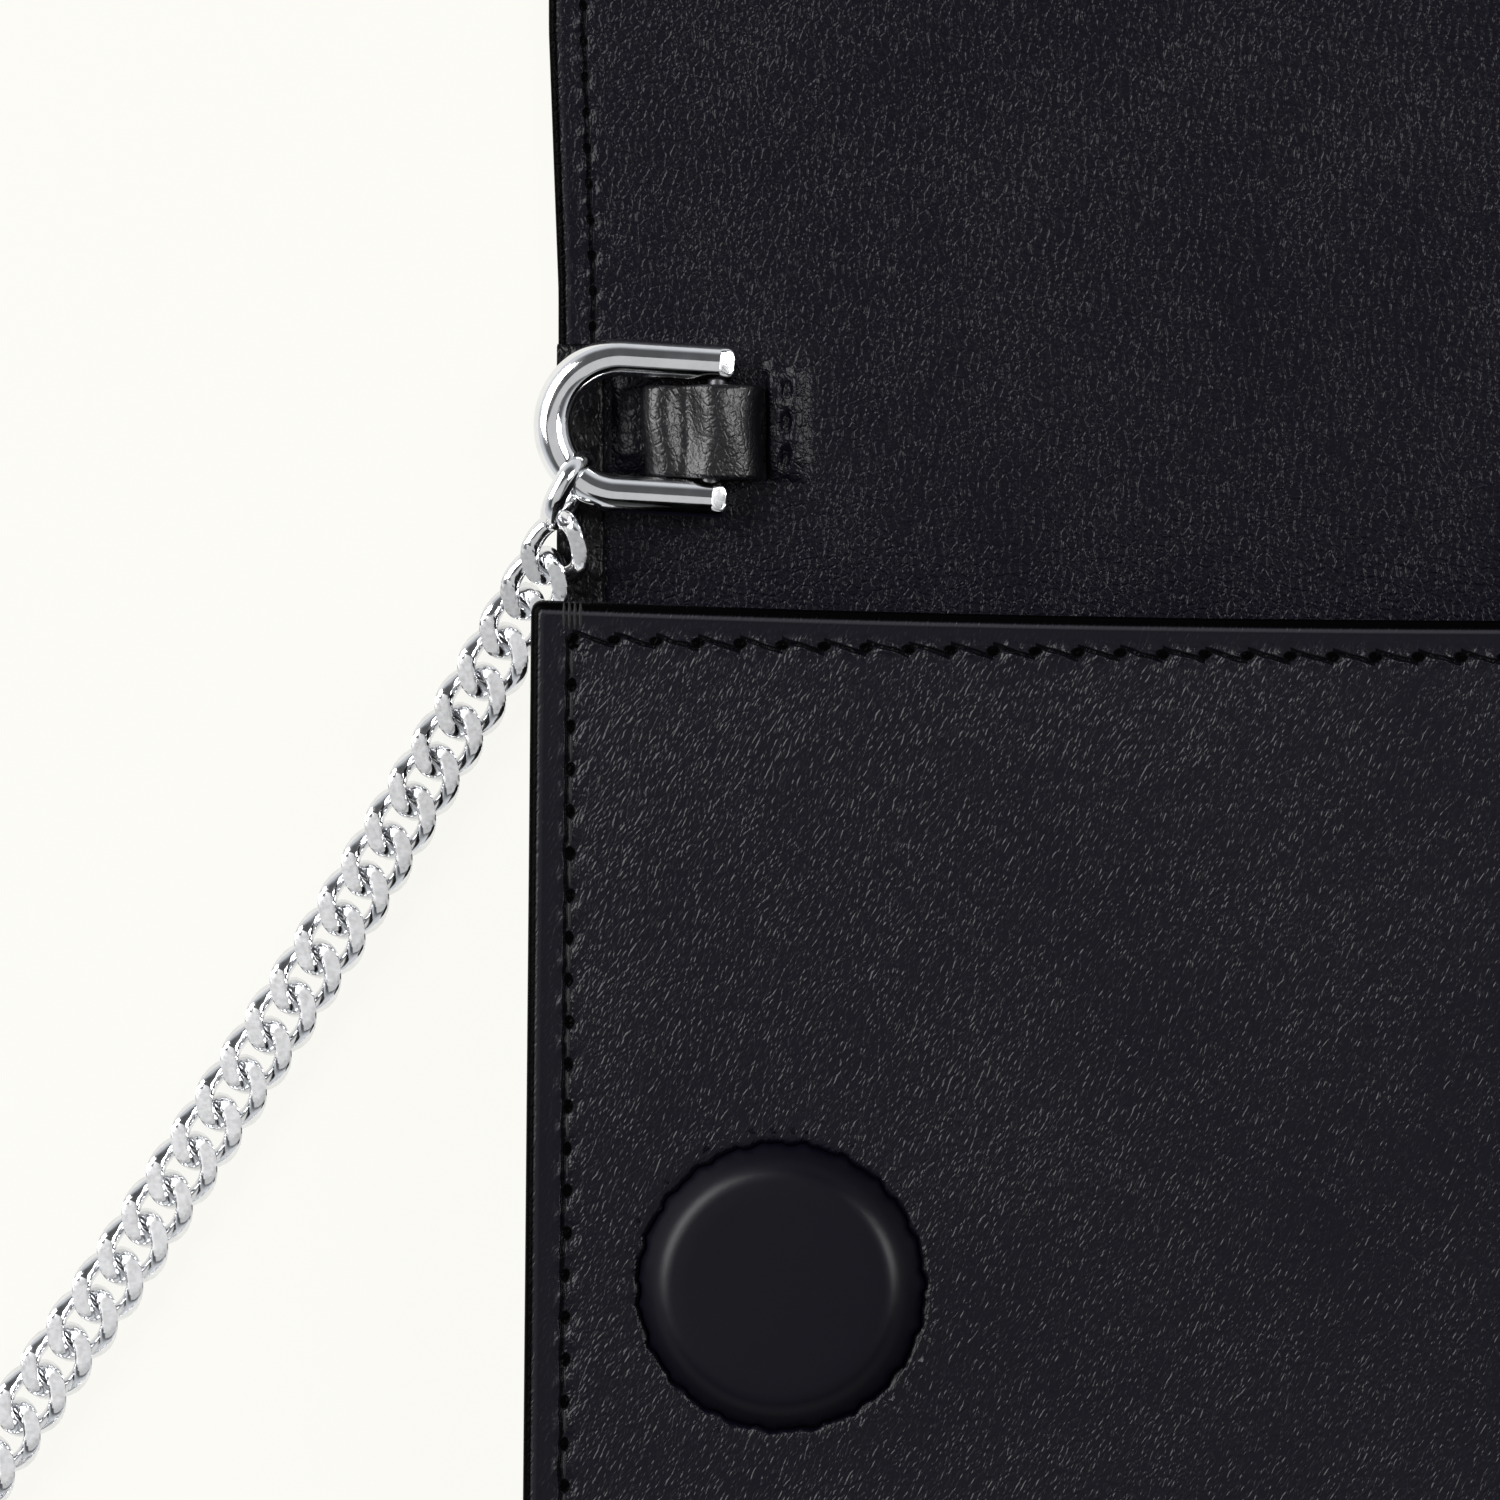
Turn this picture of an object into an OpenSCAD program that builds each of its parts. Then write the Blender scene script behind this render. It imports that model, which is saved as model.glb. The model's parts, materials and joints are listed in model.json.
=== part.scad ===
// Chain wallet: a long flap wallet of black leather, lying open on its back.
// A curb chain runs from the horseshoe ring at one end to the one at the other end.
// X runs along the wallet, Y from its bottom edge towards the flap's tip, and Z up from the table.

/* [Pocket] */
// Width of the pocket at its mouth
mouth_w = 194.4; // [160:0.2:234]
// Width of the pocket at its bottom edge
base_w = 196; // [161:0.2:236]
// Height of the back panel, from the bottom edge to the first fold
back_h = 120; // [100:1:144]
// Height of the front panel, from the bottom edge to its top edge
front_h = 91; // [75:1:108]
// Thickness of the whole pocket
pocket_t = 22; // [18:0.5:27]
// How far the front panel's top edge dips at the middle
mouth_dip = 2; // [0:0.5:6]
// Radius of the front panel's top corners
front_corner_r = 1; // [0.6:0.2:6]
// Radius of the fold along the bottom edge
bottom_r = 4; // [3.2:0.2:8]

/* [Flap] */
// Height of the spine, between the two folds
spine_h = 24; // [20:0.5:29]
// Height of the flap, from the second fold to its tip
flap_h = 106; // [88:1:127]
// Width of the flap
flap_w = 196.2; // [161:0.2:236]
// Radius of the flap's two corners
flap_corner_r = 8; // [2:1:30]
// Gap between the panels at each fold
fold_gap = 0.2; // [0.1:0.1:1]

/* [Leather] */
// Thickness of the outer leather
outer_t = 1; // [0.8:0.1:1.4]
// Thickness of the stiffening board
board_t = 0.5; // [0.3:0.1:1]
// Thickness of the lining leather
lining_t = 0.7; // [0.5:0.1:1.2]
// How far the board stops short of the edges
board_inset = 6; // [3:0.5:12]

/* [Gussets] */
// Thickness of the gusset leather
gusset_t = 0.9; // [0.6:0.1:1.4]
// Width of the gusset's sewn edge
seam_w = 4.4; // [3:0.2:8]
// How far the gusset folds in beyond its sewn edge
gusset_fold = 7; // [4:0.5:14]
// How far the sewn edge stops below the first fold
seam_stop = 5; // [2:0.5:12]

/* [Inside] */
// Thickness of one card slot's leather
slot_t = 0.6; // [0.4:0.1:1]
// Room for a card in each slot
card_gap = 0.3; // [0.2:0.1:1]
// Step between the tops of the card slots
slot_step = 10; // [6:1:14]
// Width of the seam round a card slot
slot_seam = 1.2; // [0.8:0.1:3]
// Distance from the front panel's top edge to the top card slot
slot_drop = 9; // [4:1:20]
// Height of the top card slot
slot_h = 72; // [60:1:86]
// Thickness of the divider
divider_t = 0.8; // [0.5:0.1:1.5]
// How far the divider's top edge lies below the front panel's
divider_drop = 7; // [3:1:20]

/* [Magnets] */
// Diameter of a magnet
magnet_d = 18; // [14:0.5:22]
// Thickness of a magnet in the front panel
magnet_t = 2; // [1:0.25:3]
// Thickness of a magnet in the flap
flap_magnet_t = 1; // [0.8:0.1:1.1]
// Diameter of the leather cover at its seam
cover_d = 25.6; // [22:0.2:31]
// Diameter of the cover's flat top
cover_top_d = 20.2; // [17:0.2:25]
// Thickness of the cover's leather over the magnet
cover_t = 0.6; // [0.4:0.1:1]
// Distance from a magnet's centre to the pocket's middle
magnet_x = 74.5; // [60:0.5:80]
// Distance from a magnet's centre to the bottom edge
magnet_y = 29.25; // [20:0.25:45]
// Play round a magnet inside its cover
magnet_play = 0.1; // [0.05:0.05:0.5]

/* [Ring] */
// Thickness of the ring's rod
ring_rod = 2.9; // [2:0.1:3]
// Clear width inside the ring
ring_inner = 9.9; // [9.4:0.1:12]
// Distance from the bar to the centre of the ring's curve
ring_reach = 8.6; // [7:0.1:12]
// How far the legs run past the bar
leg_past = 1.4; // [1.3:0.1:3]
// Diameter of the bar between the legs
bar_d = 1.8; // [1.4:0.1:2.2]
// How deep the bar sits in each leg
bar_seat = 1.2; // [0.6:0.1:1.8]
// Angle that the ring is turned in the wallet's plane
ring_turn = 4.5; // [0:0.5:15]
// Angle that the chain's first link holds the ring up
ring_lift = 8; // [8:0.5:20]
// Distance from the bar to the pocket's side
bar_in = 14.8; // [13:0.1:24]
// Distance from the bar to the first fold
bar_below = 13.5; // [10:0.5:20]
// Height of the bar over the lining
bar_over = 2.55; // [2.4:0.05:4]

/* [Strap] */
// Width of the strap that holds the ring
strap_w = 8.4; // [6:0.1:8.6]
// Thickness of the strap's leather
strap_t = 0.9; // [0.6:0.1:1.2]
// Play round the bar in the strap
bar_play = 0.1; // [0.05:0.05:0.3]
// Length of the strap from the bar to its folded end
strap_fold = 5.8; // [5:0.1:6.5]
// Distance from the bar to the slit that the strap goes into
slit_in = 5; // [4:0.1:8]
// Play round the strap in its slit
slit_play = 0.2; // [0.1:0.1:0.6]
// Side of the patch under the slit
patch_s = 18; // [14:1:24]

/* [Chain] */
// Width of the chain
chain_w = 6.2; // [4:0.1:7]
// Thickness of the chain
chain_t = 2.8; // [2:0.1:2.9]
// Thickness of the first link's wire
link_wire = 1.7; // [1.4:0.1:2]
// Radius of the first link's ends, along the wire's middle
link_r = 2.6; // [2.5:0.05:3]
// Straight length of the first link
link_straight = 1; // [0.6:0.1:3]
// Where on the ring's curve the first link sits, counted from the ring's far end
link_at = 51; // [30:1:70]
// Play between the first link and the ring's rod
link_play = 0.25; // [0.1:0.05:0.5]
// Direction in which the first link leaves the ring
link_heading = 244; // [230:1:260]
// Radius of the coil's outer turn, along the chain's middle
coil_r = 30; // [25:1:40]
// How much smaller the coil's inner turn is
coil_step = 6.4; // [5:0.1:8]
// Height between the coil's two layers
coil_rise = 2.8; // [2.8:0.1:4]

/* [Hidden] */
$fn = 64;

leather = [0.12, 0.12, 0.13];
lining = [0.16, 0.16, 0.17];
board = [0.62, 0.58, 0.5];
steel = [0.78, 0.79, 0.81];
magnet_grey = [0.45, 0.46, 0.48];

sheet_t = outer_t + board_t + lining_t;         // a whole panel
total_h = back_h + spine_h + flap_h;
bottom_y = -total_h / 2;
fold_y = bottom_y + bottom_r;                    // where the bottom fold meets the panels
front_top = bottom_y + front_h;
crease_1 = bottom_y + back_h;
crease_2 = crease_1 + spine_h;
tip_y = crease_2 + flap_h;
front_in = pocket_t - sheet_t;                   // inner face of the front panel

side_x = mouth_w / 2;
inner_x = side_x - seam_w;                       // inner boundary of the gusset's sewn edge
mid_z = (sheet_t + front_in) / 2;
slot_total = slot_t + card_gap;
bank_w = inner_x - gusset_fold * 3 * slot_total / (mid_z - sheet_t) - 2 * fold_gap;
divider_w = 2 * (inner_x - gusset_fold - 2 * fold_gap) - 2 * gusset_t;

magnet_pos_y = bottom_y + magnet_y;
flap_magnet_y = crease_2 + crease_1 - magnet_pos_y; // meets the front magnet when the flap is shut
cover_h = magnet_t + cover_t;
flap_cover_h = flap_magnet_t + cover_t;

bar_r = bar_d / 2;
rod_r = ring_rod / 2;
ring_r = ring_inner / 2 + rod_r;                 // radius of the ring's curve along the rod's middle
bar_x = -(side_x - bar_in);
bar_y = crease_1 - bar_below;
bar_z = sheet_t + bar_over;
hump_r = bar_r + bar_play + strap_t;
slit_w = strap_t + slit_play;

// Points of the chain's two free runs, from the left ring's link to the coil and from the coil to
// the right ring's link.
left_route = [
    [-97.5, -28.4, 5.9], [-98.8, -30.4, 4.4], [-100.3, -33, 2.8], [-102.4, -36.8, 1.7],
    [-104.9, -41.5, 1.5], [-107.6, -46.7, 1.5], [-113, -56, 1.5], [-118.2, -64.7, 1.5],
    [-123.5, -73, 1.5], [-128.7, -81, 1.5], [-134, -89.2, 1.5], [-139.1, -97.1, 1.5],
    [-144.4, -104.8, 1.5], [-149.6, -112.4, 1.5], [-155.2, -120.6, 1.5], [-161, -130.4, 1.5],
    [-167.6, -140.8, 1.5]
];
right_route = [
    [-143, -188, 4.3], [-131, -188, 3.6], [-118, -187, 2], [-104, -184, 1.5],
    [-85, -178.5, 1.5], [-62, -171.5, 1.5], [-36, -164.5, 1.5], [-8, -159, 1.5],
    [20, -156, 1.5], [48, -154.5, 1.5], [74, -152.5, 1.5], [96, -147, 1.5],
    [111, -136, 1.5], [119, -120, 1.5], [121.5, -102, 1.5], [120, -84, 1.5],
    [116, -67, 1.5], [110.5, -52, 1.5], [104.9, -41.5, 1.5], [102.4, -36.8, 1.7],
    [100.3, -33, 2.8], [98.8, -30.4, 4.4], [97.5, -28.4, 5.9]
];
coil_x = -143;
coil_y = -158;

function arc(cx, cy, r, from, to, steps = 6) =
    [for (i = [0:steps]) let (a = from + (to - from) * i / steps) [cx + r * cos(a), cy + r * sin(a)]];

// The panels' outlines, each drawn in by inset from its edges.
function back_outline(inset = 0) = let (b = base_w / 2 - inset, m = side_x - inset, g = fold_gap / 2)
    [[-b, fold_y + inset], [b, fold_y + inset], [m, front_top], [m, crease_1 - g - inset],
     [-m, crease_1 - g - inset], [-m, front_top]];

function front_outline(inset = 0) =
    let (b = base_w / 2 - inset, m = side_x - inset, r = front_corner_r, top = front_top - inset)
    concat([[-b, fold_y + fold_gap + inset], [b, fold_y + fold_gap + inset]],
        arc(m - r, top - r, r, 0, 90),
        [for (i = [1:11]) let (u = 1 - i / 6) [u * (m - r), top - mouth_dip * (1 - u * u)]],
        arc(r - m, top - r, r, 90, 180));

function spine_outline() = let (g = fold_gap / 2)
    [[-side_x, crease_1 + g], [side_x, crease_1 + g],
     [flap_w / 2, crease_2 - g], [-flap_w / 2, crease_2 - g]];

function flap_outline(inset = 0) =
    let (f = flap_w / 2 - inset, r = max(flap_corner_r - inset, 1), tip = tip_y - inset,
         low = crease_2 + fold_gap / 2 + inset)
    concat([[-f, low], [f, low]], arc(f - r, tip - r, r, 0, 90), arc(r - f, tip - r, r, 90, 180));

module sheet(points, z, t) {
    translate([0, 0, z]) linear_extrude(t) polygon(points);
}

// A profile drawn in the YZ plane, run across the wallet.
module across(w) {
    translate([-w / 2, 0, 0]) rotate([90, 0, 90]) linear_extrude(w) children();
}

// A profile drawn in the XZ plane, run from y_low to y_high.
module along(y_low, y_high) {
    translate([0, y_high, 0]) rotate([90, 0, 0]) linear_extrude(y_high - y_low) children();
}

// Left-hand pieces are drawn as they are, and right-hand ones mirrored.
module on_right() {
    mirror([1, 0, 0]) children();
}

module at_bar() {
    translate([bar_x, bar_y, bar_z]) rotate([0, 0, -ring_turn]) children();
}

module back_outer() {
    color(leather) sheet(back_outline(), 0, outer_t);
}

module back_board() {
    color(board) difference() {
        sheet(back_outline(board_inset), outer_t, board_t);
        patch_space();
        on_right() patch_space();
    }
}

module patch_space() {
    at_bar() translate([slit_in - patch_s / 2, -patch_s / 2, outer_t - bar_z])
        cube([patch_s, patch_s, board_t]);
}

module strap_patch() {
    color(leather) patch_space();
}

module back_lining() {
    color(lining) difference() {
        sheet(back_outline(), outer_t, board_t + lining_t);
        sheet(back_outline(board_inset), outer_t, board_t);
        patch_space();
        on_right() patch_space();
        strap_slit();
        on_right() strap_slit();
    }
}

module strap_slit() {
    at_bar() translate([slit_in - slit_play / 2, -(strap_w + slit_play) / 2, outer_t + board_t - bar_z])
        cube([slit_w, strap_w + slit_play, 2 * lining_t]);
}

// The wall along the bottom edge: a sheet turned from the back panel to the front one.
module bottom_wall(depth, t) {
    r = bottom_r - depth;
    across(base_w) difference() {
        bottom_section(depth, r);
        bottom_section(depth + t, r - t);
        translate([fold_y, -pocket_t]) square([total_h, 3 * pocket_t]);
    }
}

module bottom_section(depth, r) {
    translate([fold_y, bottom_r]) circle(r);
    translate([fold_y, pocket_t - bottom_r]) circle(r);
    translate([bottom_y + depth, bottom_r]) square([bottom_r + r, pocket_t - 2 * bottom_r]);
}

module bottom_outer() {
    color(leather) bottom_wall(0, outer_t);
}

module bottom_lining() {
    color(lining) bottom_wall(outer_t, board_t + lining_t);
}

module front_outer() {
    color(leather) sheet(front_outline(), pocket_t - outer_t, outer_t);
}

module front_board() {
    color(board) sheet(front_outline(board_inset), pocket_t - outer_t - board_t, board_t);
}

module front_lining() {
    color(lining) difference() {
        sheet(front_outline(), front_in, board_t + lining_t);
        sheet(front_outline(board_inset), pocket_t - outer_t - board_t, board_t);
    }
}

// The side wall folds inwards, and its lower sewn edge runs on above the front panel's top edge.
module gusset() {
    g = gusset_t;
    color(leather) {
        along(fold_y, front_top - front_corner_r) polygon([
            [-side_x, sheet_t], [-inner_x, sheet_t], [g + gusset_fold - inner_x, mid_z],
            [-inner_x, front_in], [-side_x, front_in], [-side_x, front_in - g],
            [-inner_x - g / 2, front_in - g], [gusset_fold - inner_x, mid_z],
            [-inner_x - g / 2, sheet_t + g], [-side_x, sheet_t + g]
        ]);
        translate([-side_x, front_top - front_corner_r, sheet_t])
            cube([seam_w, crease_1 - seam_stop - front_top + front_corner_r, g]);
    }
}

module gusset_left() {
    gusset();
}

module gusset_right() {
    on_right() gusset();
}

module spine_outer() {
    color(leather) sheet(spine_outline(), 0, outer_t);
}

module spine_lining() {
    color(lining) sheet(spine_outline(), outer_t, board_t + lining_t);
}

module flap_outer() {
    color(leather) sheet(flap_outline(), 0, outer_t);
}

module flap_board() {
    color(board) sheet(flap_outline(board_inset), outer_t, board_t);
}

module flap_lining() {
    color(lining) difference() {
        sheet(flap_outline(), outer_t, board_t + lining_t);
        sheet(flap_outline(board_inset), outer_t, board_t);
    }
}

module divider() {
    y_low = bottom_y + sheet_t;
    color(lining) translate([-divider_w / 2, y_low, mid_z - divider_t / 2])
        cube([divider_w, front_top - divider_drop - y_low, divider_t]);
}

// A slot is a sheet sewn down along its sides and its bottom, with room for a card behind it.
module card_slot(step) {
    top = front_top - slot_drop - step * slot_step;
    h = slot_h - step * slot_step;
    x_low = -bank_w;
    color(lining) translate([x_low, top - h, sheet_t + step * slot_total]) difference() {
        cube([bank_w - fold_gap, h, slot_total]);
        translate([slot_seam, slot_seam, 0]) cube([bank_w - fold_gap - 2 * slot_seam, h, card_gap]);
    }
}

module card_slot_left_back() {
    card_slot(0);
}

module card_slot_left_middle() {
    card_slot(1);
}

module card_slot_left_front() {
    card_slot(2);
}

module card_slot_right_back() {
    on_right() card_slot(0);
}

module card_slot_right_middle() {
    on_right() card_slot(1);
}

module card_slot_right_front() {
    on_right() card_slot(2);
}

module magnet(y, z, t) {
    color(magnet_grey) translate([-magnet_x, y, z]) cylinder(d = magnet_d, h = t);
}

// A round of leather drawn over a magnet: a flat top, and a shoulder down to its stitched edge.
module cover(y, z, h) {
    rim = cover_d / 2;
    top = cover_top_d / 2;
    color(leather) translate([-magnet_x, y, z]) difference() {
        rotate_extrude() polygon(concat([[0, 0], [rim, 0], [rim, 0.4]],
            [for (i = [1:6]) let (a = i * 15) [top + (rim - top) * cos(a), 0.4 + (h - 0.4) * sin(a)]],
            [[0, h]]));
        cylinder(r = magnet_d / 2 + magnet_play, h = h - cover_t);
    }
}

module magnet_left() {
    magnet(magnet_pos_y, pocket_t, magnet_t);
}

module magnet_right() {
    on_right() magnet_left();
}

module magnet_cover_left() {
    cover(magnet_pos_y, pocket_t, cover_h);
}

module magnet_cover_right() {
    on_right() magnet_cover_left();
}

module flap_magnet_left() {
    magnet(flap_magnet_y, sheet_t, flap_magnet_t);
}

module flap_magnet_right() {
    on_right() flap_magnet_left();
}

module flap_cover_left() {
    cover(flap_magnet_y, sheet_t, flap_cover_h);
}

module flap_cover_right() {
    on_right() flap_cover_left();
}

// The strap is folded round the bar, lies double out to its folded end, and goes down its slit.
module strap() {
    low = -bar_over;
    end_r = strap_t + 0.4;
    tail_z = outer_t + board_t - bar_z;
    color(leather) at_bar() translate([0, strap_w / 2, 0]) rotate([90, 0, 0]) linear_extrude(strap_w)
        difference() {
            union() {
                circle(hump_r);
                translate([end_r - strap_fold, low + end_r]) circle(end_r);
                polygon([[end_r - strap_fold, low], [slit_in, low], [slit_in, tail_z],
                         [slit_in + strap_t, tail_z], [slit_in + strap_t, low + 0.6],
                         [slit_in - 0.6, low + 2 * strap_t], [hump_r * 0.7, hump_r * 0.7],
                         [-hump_r * 0.9, low + 2 * strap_t], [end_r - strap_fold, low + 2 * strap_t]]);
            }
            circle(bar_r + bar_play);
        }
}

module strap_left() {
    strap();
}

module strap_right() {
    on_right() strap();
}

module strap_patch_left() {
    strap_patch();
}

module strap_patch_right() {
    on_right() strap_patch();
}

// The ring lies tilted about its bar, held up by the chain's first link.
module in_ring() {
    at_bar() rotate([0, ring_lift, 0]) children();
}

module ring() {
    leg = ring_reach + leg_past;
    color(steel) in_ring() difference() {
        union() {
            translate([-ring_reach, 0, 0]) rotate([0, 0, 90]) rotate_extrude(angle = 180)
                translate([ring_r, 0]) circle(rod_r);
            for (side = [-1, 1]) translate([-ring_reach, side * ring_r, 0])
                rotate([0, 90, 0]) cylinder(r = rod_r, h = leg);
        }
        for (side = [-1, 1]) translate([0, side * ring_inner / 2, 0]) rotate([-90 * side, 0, 0])
            cylinder(r = bar_r, h = bar_seat);
    }
}

module ring_bar() {
    len = ring_inner + 2 * bar_seat;
    color(steel) in_ring() translate([0, len / 2, 0]) rotate([90, 0, 0]) cylinder(r = bar_r, h = len);
}

module ring_left() {
    ring();
}

module ring_right() {
    on_right() ring();
}

module ring_bar_left() {
    ring_bar();
}

module ring_bar_right() {
    on_right() ring_bar();
}

// The chain's first link stands on edge round the ring's curve.
module end_link() {
    hang = link_straight / 2 + link_r - link_wire / 2 - rod_r - link_play;
    heading = link_heading + ring_turn;
    color(steel) in_ring() translate([-ring_reach - ring_r * cos(link_at), -ring_r * sin(link_at), 0])
        rotate([0, 0, heading]) translate([hang, 0, 0]) rotate([90, 0, 0]) {
            for (side = [-1, 1]) {
                translate([side * link_straight / 2, 0, 0]) rotate([0, 0, 90 * -side])
                    rotate_extrude(angle = 180) translate([link_r, 0]) circle(link_wire / 2);
                translate([-link_straight / 2, side * link_r, 0]) rotate([0, 90, 0])
                    cylinder(d = link_wire, h = link_straight);
            }
        }
}

module end_link_left() {
    end_link();
}

module end_link_right() {
    on_right() end_link();
}

// A flat eight-sided tube swept along a route.
function unit(v) = v / norm(v);
function heading(p, i) = unit(p[min(i + 1, len(p) - 1)] - p[max(i - 1, 0)]);
function ring_at(p, i) = let (t = heading(p, i), s = unit(cross([0, 0, 1], t)), u = cross(t, s))
    [for (k = [0:7]) p[i] + s * cos(45 * k) * chain_w / 2 + u * sin(45 * k) * chain_t / 2];

module tube(p) {
    n = len(p);
    points = [for (i = [0:n - 1]) each ring_at(p, i)];
    walls = [for (i = [0:n - 2], k = [0:7]) let (a = 8 * i + k, b = 8 * i + (k + 1) % 8)
        [a, a + 8, b + 8, b]];
    polyhedron(points, concat(walls, [[for (k = [0:7]) k]], [[for (k = [7:-1:0]) 8 * (n - 1) + k]]));
}

module chain_left_run() {
    color(steel) tube(left_route);
}

module chain_right_run() {
    color(steel) tube(right_route);
}

module chain_coil() {
    in_r = coil_r - coil_step - chain_w / 2;
    out_r = coil_r + chain_w / 2;
    h = coil_rise + chain_t + 0.1;
    c = 0.8;
    color(steel) translate([coil_x, coil_y, 0]) rotate_extrude() polygon([
        [in_r + c, 0], [out_r - c, 0], [out_r, c], [out_r, h - c],
        [out_r - c, h], [in_r + c, h], [in_r, h - c], [in_r, c]
    ]);
}

back_outer();
back_board();
back_lining();
bottom_outer();
bottom_lining();
front_outer();
front_board();
front_lining();
gusset_left();
gusset_right();
spine_outer();
spine_lining();
flap_outer();
flap_board();
flap_lining();
divider();
card_slot_left_back();
card_slot_left_middle();
card_slot_left_front();
card_slot_right_back();
card_slot_right_middle();
card_slot_right_front();
magnet_left();
magnet_right();
magnet_cover_left();
magnet_cover_right();
flap_magnet_left();
flap_magnet_right();
flap_cover_left();
flap_cover_right();
strap_left();
strap_right();
strap_patch_left();
strap_patch_right();
ring_left();
ring_right();
ring_bar_left();
ring_bar_right();
end_link_left();
end_link_right();
chain_left_run();
chain_coil();
chain_right_run();
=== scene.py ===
import json
import math

import bpy
import numpy as np
from mathutils import Matrix, Vector


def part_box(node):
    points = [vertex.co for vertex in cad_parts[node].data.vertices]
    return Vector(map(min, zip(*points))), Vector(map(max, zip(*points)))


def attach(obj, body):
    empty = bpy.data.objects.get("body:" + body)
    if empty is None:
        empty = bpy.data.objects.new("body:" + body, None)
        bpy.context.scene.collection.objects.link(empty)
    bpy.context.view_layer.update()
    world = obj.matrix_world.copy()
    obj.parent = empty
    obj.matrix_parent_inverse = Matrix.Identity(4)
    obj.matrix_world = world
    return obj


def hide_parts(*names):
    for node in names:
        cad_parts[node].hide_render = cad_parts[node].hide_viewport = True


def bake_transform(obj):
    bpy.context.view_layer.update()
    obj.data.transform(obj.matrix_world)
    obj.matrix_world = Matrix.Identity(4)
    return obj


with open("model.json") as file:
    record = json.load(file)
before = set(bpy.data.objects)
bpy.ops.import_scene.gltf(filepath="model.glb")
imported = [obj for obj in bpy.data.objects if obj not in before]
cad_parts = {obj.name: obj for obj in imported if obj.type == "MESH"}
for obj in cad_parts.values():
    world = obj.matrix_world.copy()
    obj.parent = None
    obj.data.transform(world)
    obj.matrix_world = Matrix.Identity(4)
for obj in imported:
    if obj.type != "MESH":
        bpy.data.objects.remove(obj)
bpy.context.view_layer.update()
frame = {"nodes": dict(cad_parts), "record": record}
mm = 0.001

# Places that every piece is built from, all read off the CAD frame.
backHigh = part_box("back_lining")[1]
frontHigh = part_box("front_outer")[1]
place = {
    "bottom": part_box("bottom_outer")[0].y,  # bottom edge of the pocket
    "foldStart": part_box("bottom_outer")[1].y,  # where the bottom fold meets the panels
    "firstFold": (backHigh.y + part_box("spine_lining")[0].y) / 2,
    "secondFold": (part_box("spine_lining")[1].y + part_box("flap_lining")[0].y) / 2,
    "tip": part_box("flap_lining")[1].y,
    "mouth": frontHigh.y,  # top edge of the front panel, at its corners
    "layer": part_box("back_outer")[1].z,  # between outer leather and lining
    "sheet": backHigh.z,  # a whole panel's thickness
    "face": frontHigh.z,  # outer face of the front panel
    "mouthHalf": -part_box("gusset_left")[0].x,
    "baseHalf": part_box("bottom_outer")[1].x,
    "flapHalf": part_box("flap_outer")[1].x,
}
midSpine = (place["firstFold"] + place["secondFold"]) / 2
joints = {j["name"]: j for j in frame["record"]["behaviour"]["joints"]}
barAt = Vector(joints["left_ring_swing"]["pos_m"])


def deselect():
    bpy.ops.object.select_all(action="DESELECT")


def only(obj):
    deselect()
    obj.select_set(True)
    bpy.context.view_layer.objects.active = obj
    return obj


def added(name):
    obj = bpy.context.object
    obj.name = name
    obj.data.name = name
    return only(obj)


def settle(obj):
    # the object's place goes into its mesh
    bpy.context.view_layer.update()
    obj.data.transform(obj.matrix_world)
    obj.matrix_world = Matrix.Identity(4)
    return obj


def applyAll(obj):
    only(obj)
    for modifier in list(obj.modifiers):
        bpy.ops.object.modifier_apply(modifier=modifier.name)
    return obj


def facesOut(obj):
    only(obj)
    bpy.ops.object.mode_set(mode="EDIT")
    bpy.ops.mesh.select_all(action="SELECT")
    bpy.ops.mesh.normals_make_consistent(inside=False)
    bpy.ops.object.mode_set(mode="OBJECT")
    return obj


def thicken(obj, thickness, offset):
    solid = obj.modifiers.new("thickness", "SOLIDIFY")
    solid.thickness = thickness
    solid.offset = offset
    return applyAll(obj)


def getPoints(obj):
    points = np.zeros(len(obj.data.vertices) * 3, np.float32)
    obj.data.vertices.foreach_get("co", points)
    return points.reshape(-1, 3).astype(float)


def setPoints(obj, points):
    obj.data.vertices.foreach_set("co", np.asarray(points, np.float32).ravel())
    obj.data.update()


def setAttribute(obj, name, values, kind="FLOAT"):
    attribute = obj.data.attributes.get(name) or obj.data.attributes.new(name, kind, "POINT")
    key = "vector" if kind == "FLOAT_VECTOR" else "value"
    attribute.data.foreach_set(key, np.asarray(values, np.float32).ravel())


def smooth(obj, angle=50):
    only(obj)
    bpy.ops.object.shade_smooth_by_angle(angle=math.radians(angle))
    return obj


def joined(objs, name):
    deselect()
    for obj in objs:
        obj.select_set(True)
    bpy.context.view_layer.objects.active = objs[0]
    bpy.ops.object.join()
    objs[0].name = name
    objs[0].data.name = name
    return only(objs[0])


def copyOf(obj, name):
    twin = obj.copy()
    twin.data = obj.data.copy()
    twin.name = name
    twin.data.name = name
    bpy.context.collection.objects.link(twin)
    return twin


def mirrored(obj, name):
    twin = copyOf(obj, name)
    twin.data.transform(Matrix.Scale(-1, 4, (1, 0, 0)))
    twin.data.flip_normals()
    return only(twin)


def setMaterials(obj, *materials):
    obj.data.materials.clear()
    for material in materials:
        obj.data.materials.append(material)


def smoothstep(low, high, value):
    t = np.clip((value - low) / (high - low), 0, 1)
    return t * t * (3 - 2 * t)


def halfWidth(y):
    return np.interp(y, [place["foldStart"], place["mouth"], place["firstFold"], place["secondFold"]],
                     [place["baseHalf"], place["mouthHalf"], place["mouthHalf"], place["flapHalf"]])


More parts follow.
